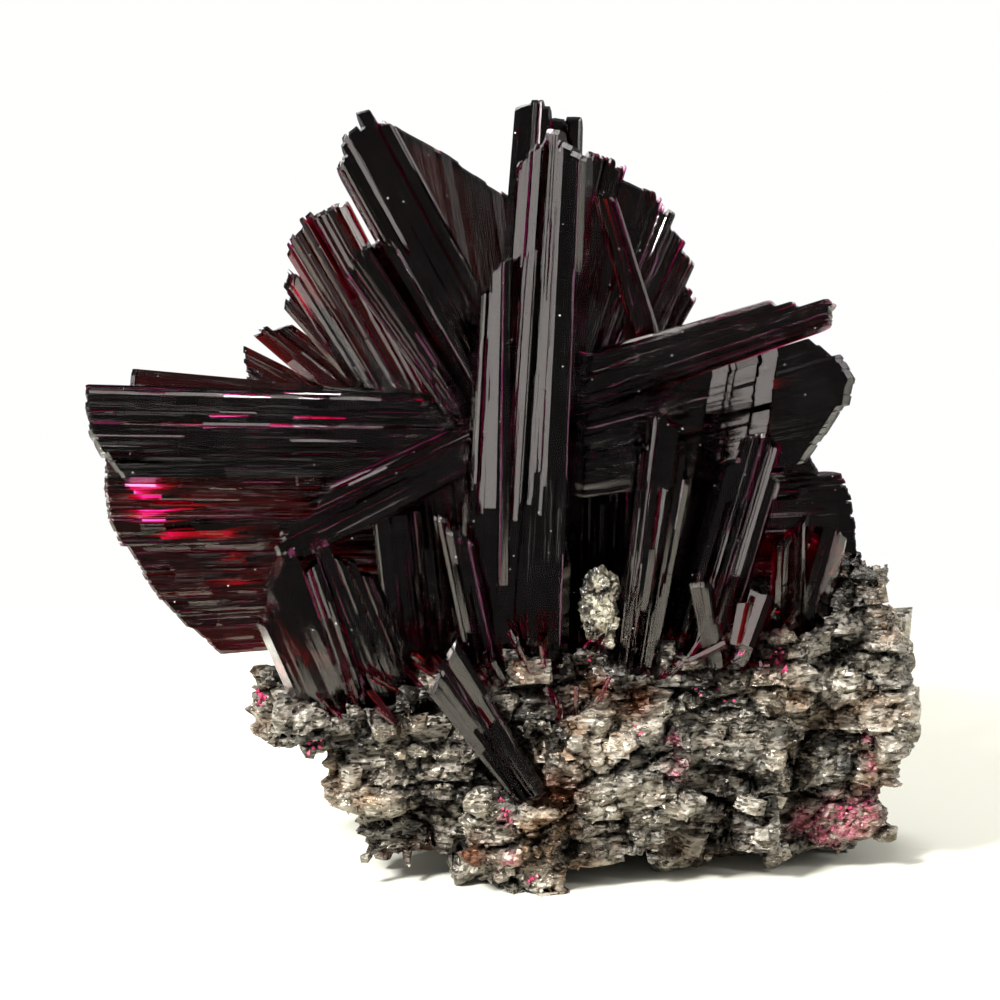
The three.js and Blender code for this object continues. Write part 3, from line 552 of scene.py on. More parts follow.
# Chunks that stand out of the surface: number, smallest and largest, yaw and lean, how deep they
# sit and how light they are. Then the loose chips.
CHUNKS = 190
CHUNK_SIZES = ((1.2, 1.0, 0.6), (3.4, 2.4, 1.7))
CHUNK_TURN = (0.5, 0.16)
CHUNK_SUNK = (0.1, 0.4)
CHUNK_SHADES = (0.35, 0.85)
LOOSE_CHIPS = 1500
CHIP_SIZES = (0.15, 0.6)
CHIP_SHADES = (0.2, 0.75)

# Painted shadow on the rock near the crystals: how far out, how much and over what distance it
# fades.
SHADOW_REACH = 2.6
SHADOW_DEPTH = 0.5
SHADOW_FADE = 1.2

# Places that the photograph shows, as its pixels: a pink crust on the rock, rusty patches, and
# how far each spreads in millimetres.
CRUST_SPOTS = [(838, 830, 1.7), (866, 808, 1.2), (806, 824, 1.0), (871, 765, 0.5), (868, 735, 0.4),
               (678, 768, 0.7), (508, 860, 0.6), (505, 822, 0.5), (780, 662, 0.5), (672, 740, 0.4)]
RUST_SPOTS = [(640, 703, 1.0), (415, 850, 1.8), (600, 690, 0.9), (470, 860, 1.4), (560, 790, 1.5)]


def lattice_hash(cell, seed):
    """A repeatable number from 0 to 1 for each whole-number cell (an array of x, y, z)."""
    mixed = (cell[:, 0] * 374761393 + cell[:, 1] * 668265263 + cell[:, 2] * 2147483647
             + seed * 1274126177)
    mixed = (mixed ^ (mixed >> 13)) * 1274126177
    mixed = mixed ^ (mixed >> 16)
    return (mixed & 0xFFFFFF) / 0xFFFFFF


def signed_hash(cell, seed):
    """The same from -1 to 1."""
    return lattice_hash(cell, seed) * 2 - 1


def leaning(cell, place, seed):
    """How far the tilted face of each block stands out at a place in it."""
    tilt = np.stack([signed_hash(cell, seed + k) for k in range(3)], axis=1)
    return (tilt * place).sum(axis=1)


def smooth_noise(points, size, seed):
    """Soft noise from -1 to 1 whose bumps are about size millimetres across."""
    scaled = points / np.array(size)
    base = np.floor(scaled).astype(np.int64)
    part = scaled - base
    part = part * part * (3 - 2 * part)
    total = np.zeros(len(points))
    for corner in np.ndindex(2, 2, 2):
        corner = np.array(corner)
        weight = np.prod(np.where(corner, part, 1 - part), axis=1)
        total += weight * lattice_hash(base + corner, seed)
    return total * 2 - 1


def blocks(points, size, seed):
    """Splits space in irregular blocks: each point's block number, place in it, and how near
    it is to the crack between two blocks (0 on the crack)."""
    scaled = points / np.array(size)
    base = np.floor(scaled).astype(np.int64)
    first = np.full(len(points), 9.0)
    second = np.full(len(points), 9.0)
    owner = np.zeros((len(points), 3), np.int64)
    place = np.zeros((len(points), 3))
    for shift in np.ndindex(3, 3, 3):
        cell = base + np.array(shift) - 1
        seat = np.stack([lattice_hash(cell, seed + k) for k in (1, 2, 3)], axis=1)
        size_here = 0.75 + 0.5 * lattice_hash(cell, seed + 4)
        apart = scaled - (cell + seat)
        far = np.power(np.power(np.abs(apart), 4).sum(axis=1), 0.25) / size_here
        nearer = far < first
        second = np.where(nearer, first, np.minimum(second, far))
        owner[nearer] = cell[nearer]
        place[nearer] = apart[nearer]
        first = np.where(nearer, far, first)
    return owner, place, second - first


def voxel_copy(node_name, piece_name, voxel):
    """A new object with an even, fine mesh of a solid's surface."""
    work = new_object("work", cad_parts[node_name].data.copy())
    remesh = work.modifiers.new("remesh", "REMESH")
    remesh.mode = "VOXEL"
    remesh.voxel_size = voxel * MM
    bpy.context.view_layer.update()
    solved = work.evaluated_get(bpy.context.evaluated_depsgraph_get())
    mesh = bpy.data.meshes.new_from_object(solved)
    bpy.data.objects.remove(work)
    mesh.materials.clear()
    return new_object(piece_name, mesh)


def mesh_arrays(mesh):
    count = len(mesh.vertices)
    points = np.empty(count * 3)
    normals = np.empty(count * 3)
    mesh.vertices.foreach_get("co", points)
    mesh.vertices.foreach_get("normal", normals)
    return points.reshape(-1, 3) / MM, normals.reshape(-1, 3)


def set_attribute(mesh, name, values):
    attribute = mesh.attributes.new(name, "FLOAT", "POINT")
    attribute.data.foreach_set("value", np.clip(values, 0, 1).astype(np.float32))


def seen_through(u, v):
    """Where the camera stands and which way the photograph's pixel (u, v) looks, in metres."""
    back = np.array([0, -math.cos(VIEW_RISE), math.sin(VIEW_RISE)])
    right = np.array([1.0, 0, 0])
    up = np.cross(right, -back)
    reach = PIXELS_PER_MM * VIEW_DISTANCE
    way = -back + right * (u - IMAGE_SIZE / 2) / reach + up * (IMAGE_SIZE / 2 - v) / reach
    eye = (VIEW_TARGET + LAYOUT_SHIFT + back * VIEW_DISTANCE) * MM
    return Vector(eye), Vector(unit(way))


def seen_place(tree, u, v):
    """The place and the normal that pixel (u, v) of the photograph meets, or None."""
    place, normal, index, far = tree.ray_cast(*seen_through(u, v))
    return (place, normal) if place else None


def spots_mask(points, tree, spots):
    """1 in the middle of each spot, falling to 0 past its radius."""
    mask = np.zeros(len(points))
    for u, v, radius in spots:
        seen = seen_place(tree, u, v)
        if seen:
            away = np.linalg.norm(points - np.array(seen[0]) / MM, axis=1)
            mask = np.maximum(mask, np.clip(1.4 - away / radius, 0, 1))
    return mask


def paint_shadow_near_crystals(points, tree, shade):
    """Paints shadow on the rock near the crystals that stand in it, by darkening its shade."""
    for index, point in enumerate(points):
        found, normal, face, far = tree.find_nearest(Vector(point * MM), SHADOW_REACH * MM)
        if found is not None:
            shade[index] -= SHADOW_DEPTH * math.exp(-far / MM / SHADOW_FADE)


def chip_points(rng, place, normal, size):
    """Six corners of an irregular chip that sits on a surface."""
    normal = unit(np.array(normal))
    side = unit(np.cross(normal, rng.normal(0, 1, 3)))
    other = np.cross(normal, side)
    reach = size / 2 * rng.uniform(0.7, 1.3, 6)
    return [place + side * reach[0], place + other * reach[1], place - side * reach[2],
            place - other * reach[3], place + normal * reach[4] * 1.2,
            place - normal * reach[5] * 0.6]


CHIP_FACES = [(0, 1, 4), (1, 2, 4), (2, 3, 4), (3, 0, 4),
              (1, 0, 5), (2, 1, 5), (3, 2, 5), (0, 3, 5)]


def chunk_points(rng, size):
    """Sixteen corners of an angular chunk: two levels with cut-off corners, one narrower."""
    cuts = rng.uniform(0.05, 0.48, 8)
    outline = [(cuts[0], 0), (1 - cuts[1], 0), (1, cuts[2]), (1, 1 - cuts[3]),
               (1 - cuts[4], 1), (cuts[5], 1), (0, 1 - cuts[6]), (0, cuts[7])]
    narrow = rng.uniform(0.6, 1.0, 2)
    corners = []
    for level in (0, 1):
        for x, y in outline:
            corners.append(((x - 0.5) * narrow[level], (y - 0.5) * narrow[level], level - 0.5))
    return (np.array(corners) + rng.uniform(-0.07, 0.07, (16, 3))) * size


SLAB_FACES = [(k, (k + 1) % 8, (k + 1) % 8 + 8, k + 8) for k in range(8)]
SLAB_FACES += [tuple(range(7, -1, -1)), tuple(range(8, 16))]


def rotation(angle, axis):
    """A matrix that turns by an angle about the axis with this number."""
    matrix = np.eye(3)
    first, second = (axis + 1) % 3, (axis + 2) % 3
    matrix[first, first] = matrix[second, second] = math.cos(angle)
    matrix[first, second], matrix[second, first] = -math.sin(angle), math.sin(angle)
    return matrix


def small_turn(rng, yaw, lean):
    """A rotation by a small yaw and two small leans, as a matrix."""
    a, b, c = rng.normal(0, 1, 3) * (lean, lean, yaw)
    return rotation(c, 2) @ rotation(b, 1) @ rotation(a, 0)


def broken_surface(points, normals):
    """How far each point moves along its normal, its shade, with painted light on raised blocks and
    painted shade along the cracks, and its polish.
    """
    warp = np.stack([smooth_noise(points, (5, 5, 5), k) for k in (11, 12, 13)], axis=1)
    bent = points + warp * np.array(ROCK_WARP)
    push, shade, dark = 0, 0.5, 0
    owners = []
    for scale in ROCK_SCALES:
        seed = scale["seed"]
        owner, place, crack = blocks(bent + scale["shift"], scale["size"], seed)
        push += (scale["lift"] * signed_hash(owner, seed + 11)
                 + scale["tilt"] * leaning(owner, place, seed + 12)
                 - scale["crack"] * np.exp(-crack / scale["crack_width"]))
        # Painted light and shade: for the blocks and chips the shade seed is the lift seed, so the
        # raised ones are lighter and the sunk ones darker.
        shade += scale["shade"] * signed_hash(owner, scale["shade_seed"])
        # Painted shade along the cracks, taken off the shade at the end.
        dark += scale["dark"] * np.exp(-crack / scale["crack_shade_width"])
        owners.append(owner)
    block, chip, grit = owners
    upright = np.sqrt(np.maximum(1 - normals[:, 2] ** 2, 0))
    wave = LAMINA_WAVE * smooth_noise(bent, (3, 3, 1), 71)
    layer = np.floor(bent[:, 2] * LAMINAE_PER_MM + wave)
    lamina = np.stack([layer, block[:, 0], block[:, 1]], axis=1).astype(np.int64)
    push += upright * LAMINA_RELIEF * signed_hash(lamina, 72)
    polish = np.clip(lattice_hash(chip, 65) * 0.7 + lattice_hash(grit, 166) * 0.5, 0, 1)
    return push, shade - dark, polish


def rock_piece(crystal_tree):
    """The schist: its broken surface, with angular chunks and loose chips in it."""
    rng = np.random.default_rng(3)
    piece = voxel_copy("schist_matrix", "schist_rock", ROCK_VOXEL)
    points, normals = mesh_arrays(piece.data)
    faces = [tuple(face.vertices) for face in piece.data.polygons]
    bpy.data.objects.remove(piece)
    push, shade, polish = broken_surface(points, normals)
    surface = points + normals * push[:, None]
    vertices, shades, polishes = [surface], [shade], [polish]
    count = len(surface)

    smallest, largest = np.array(CHUNK_SIZES)
    for member in rng.choice(len(points), CHUNKS):
        size = smallest + (largest - smallest) * rng.random(3) ** 1.6
        yaw = math.atan2(normals[member][1], normals[member][0]) + math.pi / 2
        facing = np.eye(3) if abs(normals[member][2]) > 0.8 else rotation(yaw, 2)
        turn = small_turn(rng, *CHUNK_TURN) @ facing
        sunk = abs(turn.T @ normals[member]) @ size / 2 - rng.uniform(*CHUNK_SUNK)
        corners = chunk_points(rng, size) @ turn.T + surface[member] - normals[member] * sunk
        vertices.append(corners)
        faces.extend(moved(SLAB_FACES, count))
        shades.append(np.full(16, rng.uniform(*CHUNK_SHADES)) + rng.normal(0, 0.06, 16))
        polishes.append(np.full(16, rng.random()))
        count += 16

    for member in rng.choice(len(points), LOOSE_CHIPS):
        size = rng.uniform(*CHIP_SIZES) * rng.uniform(0.5, 1.0)
        vertices.append(np.array(chip_points(rng, surface[member], normals[member], size)))
        faces.extend(moved(CHIP_FACES, count))
        shades.append(np.full(6, rng.uniform(*CHIP_SHADES)))
        polishes.append(np.full(6, rng.random()))
        count += 6

    low, high = [np.array(corner) / MM for corner in cad_box]
    vertices = np.clip(np.concatenate(vertices), low, high)
    shade = np.concatenate(shades)
    # Painted shadow on the rock near the crystals.
    paint_shadow_near_crystals(vertices, crystal_tree, shade)
    piece = new_mesh_object("schist_rock", vertices * MM, faces)
    tree = tree_of(piece)
    set_attribute(piece.data, "shade", shade)
    set_attribute(piece.data, "polish", np.concatenate(polishes))
    set_attribute(piece.data, "crust", spots_mask(vertices, tree, CRUST_SPOTS))
    set_attribute(piece.data, "rust", spots_mask(vertices, tree, RUST_SPOTS))
    return piece, tree


QUARTZ_VOXEL = 0.09
QUARTZ_GRAIN = (0.5, 0.5, 0.7)
QUARTZ_FINE = (0.24, 0.24, 0.24)


def quartz_piece():
    """The pale lump: crystal faces that turn every way, with painted light that makes it lighter
    towards its right side, and painted shade in the gaps between its grains.
    """
    piece = voxel_copy("quartz_lump", "quartz_lump_grains", QUARTZ_VOXEL)
    points, normals = mesh_arrays(piece.data)
    warp = np.stack([smooth_noise(points, (0.8, 0.8, 0.8), k) for k in (81, 82, 83)], axis=1)
    bent = points + warp * 0.45
    grain, spot, gap = blocks(bent, QUARTZ_GRAIN, 90)
    fine = blocks(bent, QUARTZ_FINE, 190)[0]
    push = 0.3 * leaning(grain, spot, 91) - 0.12 * np.exp(-gap / 0.05)
    push += 0.2 * signed_hash(grain, 94) + 0.07 * signed_hash(fine, 194)
    rightmost = np.clip((points[:, 0] - points[:, 0].min()) / np.ptp(points[:, 0]), 0, 1)
    # Painted light: the lump is lighter towards its right side.
    shade = 0.3 + 0.45 * rightmost ** 2 + 0.25 * signed_hash(grain, 95)
    shade += 0.2 * signed_hash(fine, 195) + 0.3 * smooth_noise(points, (1.4, 1.4, 1.4), 97)
    # Painted shade in the gaps between the grains.
    shade -= 0.5 * np.exp(-gap / 0.06)
    points += normals * push[:, None]
    piece.data.vertices.foreach_set("co", (points * MM).reshape(-1))
    piece.data.update()
    set_attribute(piece.data, "shade", shade)
    return piece


# Small things that grow or lie on the rock and the crystals

# Short blades: number, the area that they grow in, the lowest place and the steepest one, how far
# they reach in the rock, length, width as a share of it, the middle that they spread from and how
# far they stray.
SMALL_BLADES = 260
SMALL_BLADE_AREA = ((-10.5, 15.5), (-8.0, 3.0))
SMALL_BLADE_FLOOR = 8.6
STEEPEST_SEAT = 0.15
ROOTED = 0.4
SMALL_BLADE_LENGTH = (0.7, 2.1)
SMALL_BLADE_WIDTH = (0.14, 0.32)
SPREAD_FROM = (3.0, 2.0)
SPREAD_STRAY = 0.28
# Two short plates that mirror the light: root, way, side, length, width, depth and end slope.
BRIGHT_PLATES = [((13.4, -6.4, 13.7), (0.9, 0.3, 2.6), (0.75, -0.66, 0), 2.9, 1.15, 0.4, 0.3),
                 ((12.75, -6.2, 13.7), (0.5, 0.3, 2.4), (0.85, -0.5, 0), 2.3, 0.8, 0.4, 0.3)]
# Red grains: pixels of the photograph and size in millimetres of each spot.
RED_GRAIN_SPOTS = [(262, 697, 0.55), (258, 702, 0.35), (315, 747, 0.4), (321, 741, 0.25),
                   (780, 660, 0.5), (786, 668, 0.35), (776, 652, 0.3), (545, 655, 0.25),
                   (640, 728, 0.25), (505, 812, 0.3), (500, 800, 0.25), (532, 878, 0.4),
                   (845, 806, 0.3), (730, 700, 0.2), (698, 694, 0.2), (590, 655, 0.2)]
GRAINS_PER_SPOT = 4
GRAIN_STRAY_PIXELS = 3
# Dust on the crystals: number, the pixels between which it lies and its sizes.
DUST_SPECKS = 90
DUST_AREA = ((90, 850), (130, 660))
DUST_SIZES = (0.05, 0.11)


def prism_points(root, way, side, length, width, depth, slope):
    """Twelve corners of a six-sided blade that ends in a slanting face."""
    way = unit(way)
    side = unit(side - way * np.dot(side, way))
    thick = np.cross(way, side)
    outline = [(1, 0.5), (0.55, 1), (-0.6, 1), (-1, 0.45), (-0.55, -1), (0.6, -1)]
    corners = []
    for share, grow in ((0, 0.8), (1, 1)):
        for wide, deep in outline:
            rise = share * (length + slope * wide * width / 2)
            corners.append(root + way * rise + side * wide * width / 2 * grow
                           + thick * deep * depth / 2 * grow)
    return corners


PRISM_FACES = [(k, (k + 1) % 6, (k + 1) % 6 + 6, k + 6) for k in range(6)]
PRISM_FACES += [(5, 4, 3, 2, 1, 0), (6, 7, 8, 9, 10, 11)]


def small_blades_piece(tree):
    """Short blades that grow out of the rock between the large ones."""
    rng = np.random.default_rng(7)
    vertices, faces, uvs = [], [], []

    def grow(root, way, side, length, width, depth, slope, rooted=0.0):
        faces.extend(moved(PRISM_FACES, len(vertices)))
        vertices.extend(prism_points(root - way * rooted, way, side, length + rooted, width,
                                     depth, slope))
        uvs.extend((reach, k * width / 6) for reach in (0, length) for k in range(6))

    (left, right), (near, back) = SMALL_BLADE_AREA
    while len(vertices) < SMALL_BLADES * 12:
        spot = np.array([rng.uniform(left, right), rng.uniform(near, back), 30.0])
        above = Vector((spot + LAYOUT_SHIFT) * MM)
        hit, normal, index, far = tree.ray_cast(above, Vector((0, 0, -1)))
        if hit is None or hit.z < SMALL_BLADE_FLOOR * MM or normal.z < STEEPEST_SEAT:
            continue
        place = np.array(hit) / MM
        outward = np.array([place[0] - SPREAD_FROM[0], (place[1] - SPREAD_FROM[1]) * 0.25, 8.0])
        way = unit(unit(outward) + rng.normal(0, SPREAD_STRAY, 3))
        length = rng.uniform(*SMALL_BLADE_LENGTH)
        width = length * rng.uniform(*SMALL_BLADE_WIDTH)
        grow(place, way, rng.normal(0, 1, 3), length, width, width * rng.uniform(0.4, 0.8),
             rng.uniform(-0.7, 0.7), ROOTED)
    for root, way, side, *sizes in BRIGHT_PLATES:
        grow(np.array(root) + LAYOUT_SHIFT, np.array(way), np.array(side), *sizes)
    piece = new_mesh_object("small_blades", np.array(vertices) * MM, faces)
    set_uv(piece, np.array(uvs) * MM)
    return piece


def chips_piece(name, rng, seats):
    """Many small chips in one piece. seats: place in metres, normal and size of each."""
    vertices, faces = [], []
    for place, normal, size in seats:
        faces.extend(moved(CHIP_FACES, len(vertices)))
        vertices.extend(chip_points(rng, np.array(place) / MM, normal, size))
    return new_mesh_object(name, np.array(vertices) * MM, faces)


def red_grains_piece(tree):
    rng = np.random.default_rng(17)
    seats = []
    for u, v, size in RED_GRAIN_SPOTS:
        for _ in range(GRAINS_PER_SPOT):
            seen = seen_place(tree, u + rng.normal(0, GRAIN_STRAY_PIXELS),
                              v + rng.normal(0, GRAIN_STRAY_PIXELS))
            if seen:
                seats.append((*seen, size * rng.uniform(0.5, 1.0)))
    return chips_piece("red_grains", rng, seats)


def dust_piece(tree):
    rng = np.random.default_rng(27)
    seats = []
    while len(seats) < DUST_SPECKS:
        seen = seen_place(tree, rng.uniform(*DUST_AREA[0]), rng.uniform(*DUST_AREA[1]))
        if seen:
            seats.append((*seen, rng.uniform(*DUST_SIZES)))
    return chips_piece("dust_specks", rng, seats)


# Materials


def shader(name):
    """A new material, its tree and its surface node."""
    material = bpy.data.materials.new(name)
    material.use_nodes = True
    tree = material.node_tree
    return material, tree, tree.nodes["Principled BSDF"]


def fill(tree, node, sockets):
    """Gives inputs of a node, named by their words or numbers, a value or a link."""
    for key, value in sockets.items():
        socket = node.inputs[key.replace("_", " ") if isinstance(key, str) else key]
        if isinstance(value, bpy.types.NodeSocket):
            tree.links.new(value, socket)
        else:
            socket.default_value = value


def add(tree, kind, settings=None, numbered=(), **sockets):
    """A node with some of its settings and of its inputs, by name or in their order."""
    node = tree.nodes.new(kind)
    for key, value in (settings or {}).items():
        setattr(node, key, value)
    fill(tree, node, {**dict(enumerate(numbered)), **sockets})
    return node


def ramp(tree, stops, source):
    """Colours by a value: (place, colour) pairs, where one number stands for a grey."""
    node = add(tree, "ShaderNodeValToRGB", Fac=source)
    elements = node.color_ramp.elements
    while len(elements) < len(stops):
        elements.new(0.5)
    for element, (place, colour) in zip(elements, stops):
        element.position = place
        element.color = (*colour, 1) if isinstance(colour, tuple) else (colour, colour, colour, 1)
    return node.outputs["Color"]


def mixed(tree, share, first, second, blend="MIX"):
    """A mix of two colours. Each of share, first and second is a value or a socket."""
    first, second = [(*value, 1) if isinstance(value, tuple) else value
                     for value in (first, second)]
    return add(tree, "ShaderNodeMix", {"data_type": "RGBA", "blend_type": blend},
               Factor=share, A=first, B=second).outputs["Result"]


def noise(tree, source, **sockets):
    """A cloudy value from 0 to 1 over the places that source gives."""
    return add(tree, "ShaderNodeTexNoise", Vector=source, **sockets).outputs["Fac"]


def bumped(tree, height, strength, distance):
    """The normal of a surface with a fine relief. distance: its height in metres."""
    return add(tree, "ShaderNodeBump", Strength=strength, Distance=distance,
               Height=height).outputs["Normal"]


def math_node(tree, operation, *values):
    """One step of arithmetic on sockets or numbers."""
    return add(tree, "ShaderNodeMath", {"operation": operation}, values).outputs["Value"]


def vector_node(tree, operation, *values):
    """One step of arithmetic on vectors, as a node."""
    return add(tree, "ShaderNodeVectorMath", {"operation": operation}, values)


def point_value(tree, name):
    return add(tree, "ShaderNodeAttribute", {"attribute_name": name}).outputs["Fac"]


def scattered_normal(tree, colour, share, normal):
    """A normal turned by a random colour, so that each grain mirrors its own way."""
    lean = vector_node(tree, "MULTIPLY_ADD", colour, (2 * share,) * 3, (-share,) * 3)
    turned = vector_node(tree, "ADD", normal, lean.outputs["Vector"])
    return vector_node(tree, "NORMALIZE", turned.outputs["Vector"]).outputs["Vector"]


# Erythrite: its refractive index, the colour that it leaves of white light, how strongly it
# absorbs per metre, and the crystals that are clearer than the rest. It takes out green first,
# then blue, then red, so a thin edge is magenta, a thicker one crimson and the rest black.
CRYSTAL_IOR = 1.66
ABSORPTION_COLOUR = (0.86, 0.0, 0.58, 1)
ABSORPTION_DENSITY = 29000
CLEAR_DENSITY = 11000
CLEAR_CRYSTALS = ("lower_left_pale_prism", "right_gem_crystals")


def object_place(tree):
    return add(tree, "ShaderNodeTexCoord").outputs["Object"]


def crystal_material(name, density):
    material, tree, principled = shader(name)
    uv = add(tree, "ShaderNodeUVMap", {"uv_map": "along_blade"}).outputs["UV"]
    stretch = add(tree, "ShaderNodeMapping", Vector=uv, Scale=(160, 6500, 1))
    grain = noise(tree, stretch.outputs["Vector"], Scale=1.0, Detail=3.0, Roughness=0.55)
    patches = noise(tree, object_place(tree), Scale=420.0, Detail=3.0)
    absorption = add(tree, "ShaderNodeVolumeAbsorption", Color=ABSORPTION_COLOUR, Density=density)
    fill(tree, tree.nodes["Material Output"], {"Volume": absorption.outputs["Volume"]})
    fill(tree, principled, {
        "Base Color": (1, 0.93, 0.97, 1), "IOR": CRYSTAL_IOR, "Transmission Weight": 1.0,
        "Specular Tint": (1, 0.92, 0.88, 1), "Normal": bumped(tree, grain, 0.8, 0.000016),
        "Roughness": ramp(tree, [(0.35, 0.03), (0.7, 0.13)], patches),
    })
    return material


def rock_material():
    material, tree, principled = shader("schist")
    place = object_place(tree)
    layered = add(tree, "ShaderNodeMapping", Vector=place, Scale=(1, 1, 2.6),
                  Rotation=(0.12, 0.08, 0)).outputs["Vector"]
    beds = noise(tree, layered, Scale=750.0, Detail=9.0, Roughness=0.7)
    base = ramp(tree, [(0.32, (0.085, 0.07, 0.052)), (0.46, (0.17, 0.147, 0.115)),
                       (0.57, (0.27, 0.245, 0.202)), (0.7, (0.44, 0.415, 0.36))], beds)
    stains = noise(tree, place, Scale=230.0, Detail=5.0, Roughness=0.6)
    stain_share = ramp(tree, [(0.5, 0.0), (0.66, 0.9)], stains)
    browned = mixed(tree, stain_share, base, (0.5, 0.3, 0.16), "MULTIPLY")
    # The shade attribute, with its painted light, painted shade along the cracks and painted shadow
    # near the crystals, as a factor on the colour.
    depth = ramp(tree, [(0.0, 0.12), (0.3, 0.7), (0.6, 1.25), (1.0, 1.9)],
                 point_value(tree, "shade"))
    shaded = mixed(tree, 1.0, browned, depth, "MULTIPLY")
    rusty = mixed(tree, point_value(tree, "rust"), shaded, (0.075, 0.026, 0.01))
    speckle = noise(tree, place, Scale=1500.0, Detail=4.0, Roughness=0.7)
    crust_share = math_node(tree, "MULTIPLY", point_value(tree, "crust"),
                            ramp(tree, [(0.4, 0.0), (0.58, 0.85)], speckle))
    crusted = mixed(tree, crust_share, rusty, (0.27, 0.03, 0.07))

    # Mica: flat grains of about a third of a millimetre, each turned its own way, so that some
    # of them mirror the light.
    mica = add(tree, "ShaderNodeTexVoronoi", Vector=layered, Scale=3200.0).outputs["Color"]
    shine = add(tree, "ShaderNodeSeparateColor", Color=mica)
    grain_metal = ramp(tree, [(0.5, 0.0), (0.7, 0.8)], shine.outputs["Green"])
    block_metal = ramp(tree, [(0.45, 0.0), (0.85, 0.7)], point_value(tree, "polish"))
    fill(tree, principled, {
        "Base Color": crusted,
        "Normal": scattered_normal(tree, mica, 0.55, bumped(tree, beds, 1.0, 0.0001)),
        "Roughness": ramp(tree, [(0.0, 0.6), (0.5, 0.4), (0.75, 0.2)], shine.outputs["Red"]),
        "Metallic": mixed(tree, 1.0, grain_metal, block_metal, "LIGHTEN"),
    })
    return material


def quartz_material():
    material, tree, principled = shader("quartz")
    place = object_place(tree)
    cloud = noise(tree, place, Scale=1300.0, Detail=6.0, Roughness=0.65)
    base = ramp(tree, [(0.38, (0.03, 0.025, 0.018)), (0.5, (0.2, 0.175, 0.12)),
                       (0.66, (0.6, 0.57, 0.45))], cloud)
    # The shade attribute, with its painted light and painted shade in the gaps, as a factor on the
    # colour.
    depth = ramp(tree, [(0.0, 0.06), (0.4, 0.7), (1.0, 1.2)], point_value(tree, "shade"))
    sparkle = add(tree, "ShaderNodeTexVoronoi", Vector=place, Scale=6000.0).outputs["Color"]
    fill(tree, principled, {
        "Base Color": mixed(tree, 1.0, base, depth, "MULTIPLY"),
        "Normal": scattered_normal(tree, sparkle, 0.35, bumped(tree, cloud, 0.8, 0.00008)),
        "Roughness": ramp(tree, [(0.35, 0.4), (0.65, 0.12)], cloud),
    })
    return material


def grain_material(name, dark, light, scale):
    """A rough mineral whose colour runs between two colours from grain to grain."""
    material, tree, principled = shader(name)
    cloud = noise(tree, object_place(tree), Scale=scale, Detail=4.0)
    fill(tree, principled, {
        "Base Color": ramp(tree, [(0.35, dark), (0.65, light)], cloud),
        "Normal": bumped(tree, cloud, 0.6, 0.00004),
        "Roughness": ramp(tree, [(0.3, 0.3), (0.7, 0.6)], cloud),
    })
    return material


# Pieces


def dress(piece, material, slot, *nodes):
    """Gives a piece its material, and makes it stand for the solids it replaces."""
    piece.data.materials.append(material)
    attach(piece, "root")
    if nodes:
        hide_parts(*nodes)


crystal = crystal_material("erythrite", ABSORPTION_DENSITY)
clear_crystal = crystal_material("erythrite_clear", CLEAR_DENSITY)
crystals = []
for name in dict.fromkeys(row[0] for row in SHEAVES):
    piece = crystal_piece(name)
    dress(piece, clear_crystal if name in CLEAR_CRYSTALS else crystal, "crystal", name)
    crystals.append(piece)
crystal_tree = tree_of(*crystals)

stone, stone_tree = rock_piece(crystal_tree)
dress(stone, rock_material(), "rock", "schist_matrix")
dress(quartz_piece(), quartz_material(), "quartz", "quartz_lump")
dress(small_blades_piece(stone_tree), crystal, "crystal")
dress(red_grains_piece(stone_tree), grain_material("erythrite_crust", (0.2, 0.008, 0.035),
      (0.6, 0.05, 0.16), 2500.0), "crystal")
dress(dust_piece(crystal_tree), grain_material("pale_dust", (0.5, 0.48, 0.42), (0.85, 0.84, 0.8),
      9000.0), "quartz")

# Floor, light and camera

# The specimen stands on a pale card. The card's far edge shows behind it.
CARD_LEFT, CARD_RIGHT = -260, 260
CARD_NEAR, CARD_FAR = -36, 66


def floor_piece():
    corners = np.array([[CARD_LEFT, CARD_NEAR, 0], [CARD_RIGHT, CARD_NEAR, 0],
                        [CARD_RIGHT, CARD_FAR, 0], [CARD_LEFT, CARD_FAR, 0]]) * MM
    floor = new_mesh_object("floor", corners, [(0, 1, 2, 3)])
    material, tree, principled = shader("pale_floor")
    fill(tree, principled, {"Base Color": (0.57, 0.565, 0.49, 1), "Roughness": 0.9})
    floor.data.materials.append(material)


WORLD_WHITE = (1.0, 1.0, 0.99)
DIFFUSE_STRENGTH = 0.8
BACKLIGHT = 2.6

# Bright fields that the facets mirror: direction, radius in degrees and strength. Between them
# the surroundings are dark, so that most facets stay black.
DARK_FIELD = 0.1
FIELD_SOFTNESS = 0.15
BRIGHT_FIELDS = [
    ((-0.85, -0.52, 0.1), 30, 3.0),
    ((-0.98, -0.12, -0.1), 11, 9.0),
    ((0.0, -0.94, 0.34), 5, 0.8),
    ((-0.1, 0.25, 1.0), 30, 3.0),
    ((0.95, 0.3, 0.25), 24, 1.7),
    ((-0.25, 1.0, 0.1), 14, 1.3),
    ((0.5, 0.8, 0.3), 10, 2.0),
    ((-0.35, -0.62, 0.7), 9, 6.0),
    ((0.6, -0.55, 0.6), 7, 6.0),
    ((0.3, 0.6, 0.75), 12, 2.5),
]


def bright_field(tree, direction, way, radius, strength):
    """A soft round field of light in one direction of the surroundings."""
    towards = vector_node(tree, "DOT_PRODUCT", direction, tuple(unit(np.array(way))))
    outer = math.cos(math.radians(radius * (1 + FIELD_SOFTNESS)))
    inner = math.cos(math.radians(radius * (1 - FIELD_SOFTNESS)))
    return add(tree, "ShaderNodeMapRange", {"interpolation_type": "SMOOTHSTEP"},
               Value=towards.outputs["Value"], From_Min=outer, From_Max=inner,
               To_Max=strength).outputs["Result"]


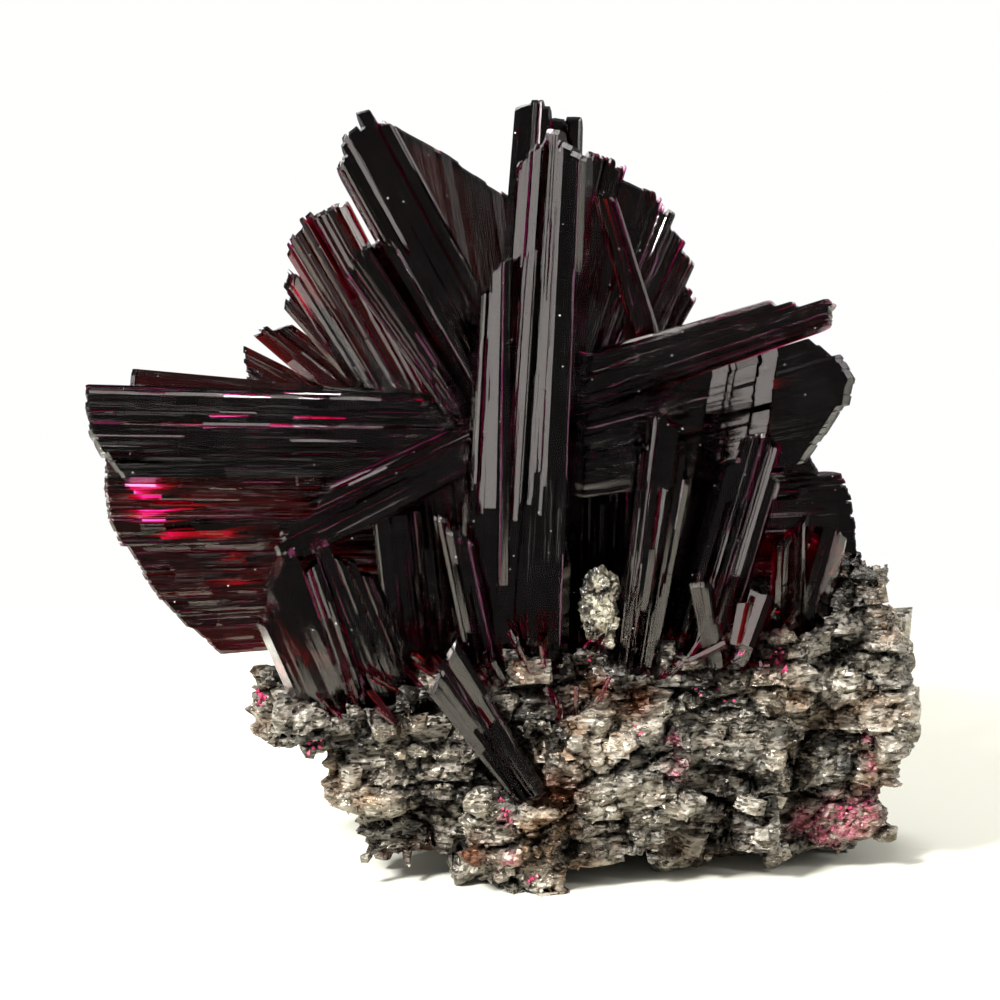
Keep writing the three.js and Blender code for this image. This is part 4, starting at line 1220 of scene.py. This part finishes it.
def studio_world():
    """White all round for the picture and for light through the crystals, with dark and bright
    fields for what the facets mirror."""
    world = bpy.data.worlds.new("studio")
    bpy.context.scene.world = world
    world.use_nodes = True
    tree = world.node_tree
    path = add(tree, "ShaderNodeLightPath")
    direction = add(tree, "ShaderNodeTexCoord").outputs["Generated"]
    mirrored = DARK_FIELD
    for way, radius, strength in BRIGHT_FIELDS:
        field = bright_field(tree, direction, way, radius, strength)
        mirrored = math_node(tree, "ADD", mirrored, field)
    refracted = path.outputs["Is Transmission Ray"]
    glossy = math_node(tree, "MULTIPLY", path.outputs["Is Glossy Ray"],
                       math_node(tree, "SUBTRACT", 1.0, refracted))
    through = math_node(tree, "MULTIPLY", refracted, BACKLIGHT - 1)
    diffuse = math_node(tree, "MULTIPLY", path.outputs["Is Diffuse Ray"], DIFFUSE_STRENGTH - 1)
    plain = math_node(tree, "ADD", math_node(tree, "ADD", through, diffuse), 1.0)
    plain_share = math_node(tree, "MULTIPLY", plain, math_node(tree, "SUBTRACT", 1.0, glossy))
    glossy_share = math_node(tree, "MULTIPLY", glossy, mirrored)
    fill(tree, tree.nodes["Background"], {
        "Color": (*WORLD_WHITE, 1),
        "Strength": math_node(tree, "ADD", plain_share, glossy_share),
    })


LIGHT_TARGET = (0, 0, 20)


def softbox(name, place, size, power):
    """An area light of size (x, y) millimetres that looks at the middle of the specimen."""
    light = bpy.data.lights.new(name, "AREA")
    light.shape = "RECTANGLE"
    light.size, light.size_y = size[0] * MM, size[1] * MM
    light.energy = power
    lamp = new_object(name, light)
    lamp.location = Vector(place) * MM
    target = Vector(LIGHT_TARGET) * MM
    lamp.rotation_euler = (target - lamp.location).to_track_quat("-Z", "Y").to_euler()


def photo_camera():
    data = bpy.data.cameras.new("photo_view")
    data.sensor_width = SENSOR
    data.lens = SENSOR * PIXELS_PER_MM * VIEW_DISTANCE / IMAGE_SIZE
    data.clip_start = 0.01
    data.clip_end = 10
    camera = new_object("photo_view", data)
    back = np.array([0, -math.cos(VIEW_RISE), math.sin(VIEW_RISE)]) * VIEW_DISTANCE
    camera.location = Vector((VIEW_TARGET + LAYOUT_SHIFT + back) * MM)
    camera.rotation_euler = (math.pi / 2 - VIEW_RISE, 0, 0)
    bpy.context.scene.camera = camera


floor_piece()
studio_world()
# Softboxes: place and size in millimetres, and power in watts.
softbox("key", (-150, -190, 210), (60, 60), 2.6)
softbox("side", (260, -80, 120), (30, 60), 0.3)
softbox("top", (20, 80, 300), (90, 90), 0.7)
photo_camera()
bpy.context.scene.view_settings.view_transform = "Standard"
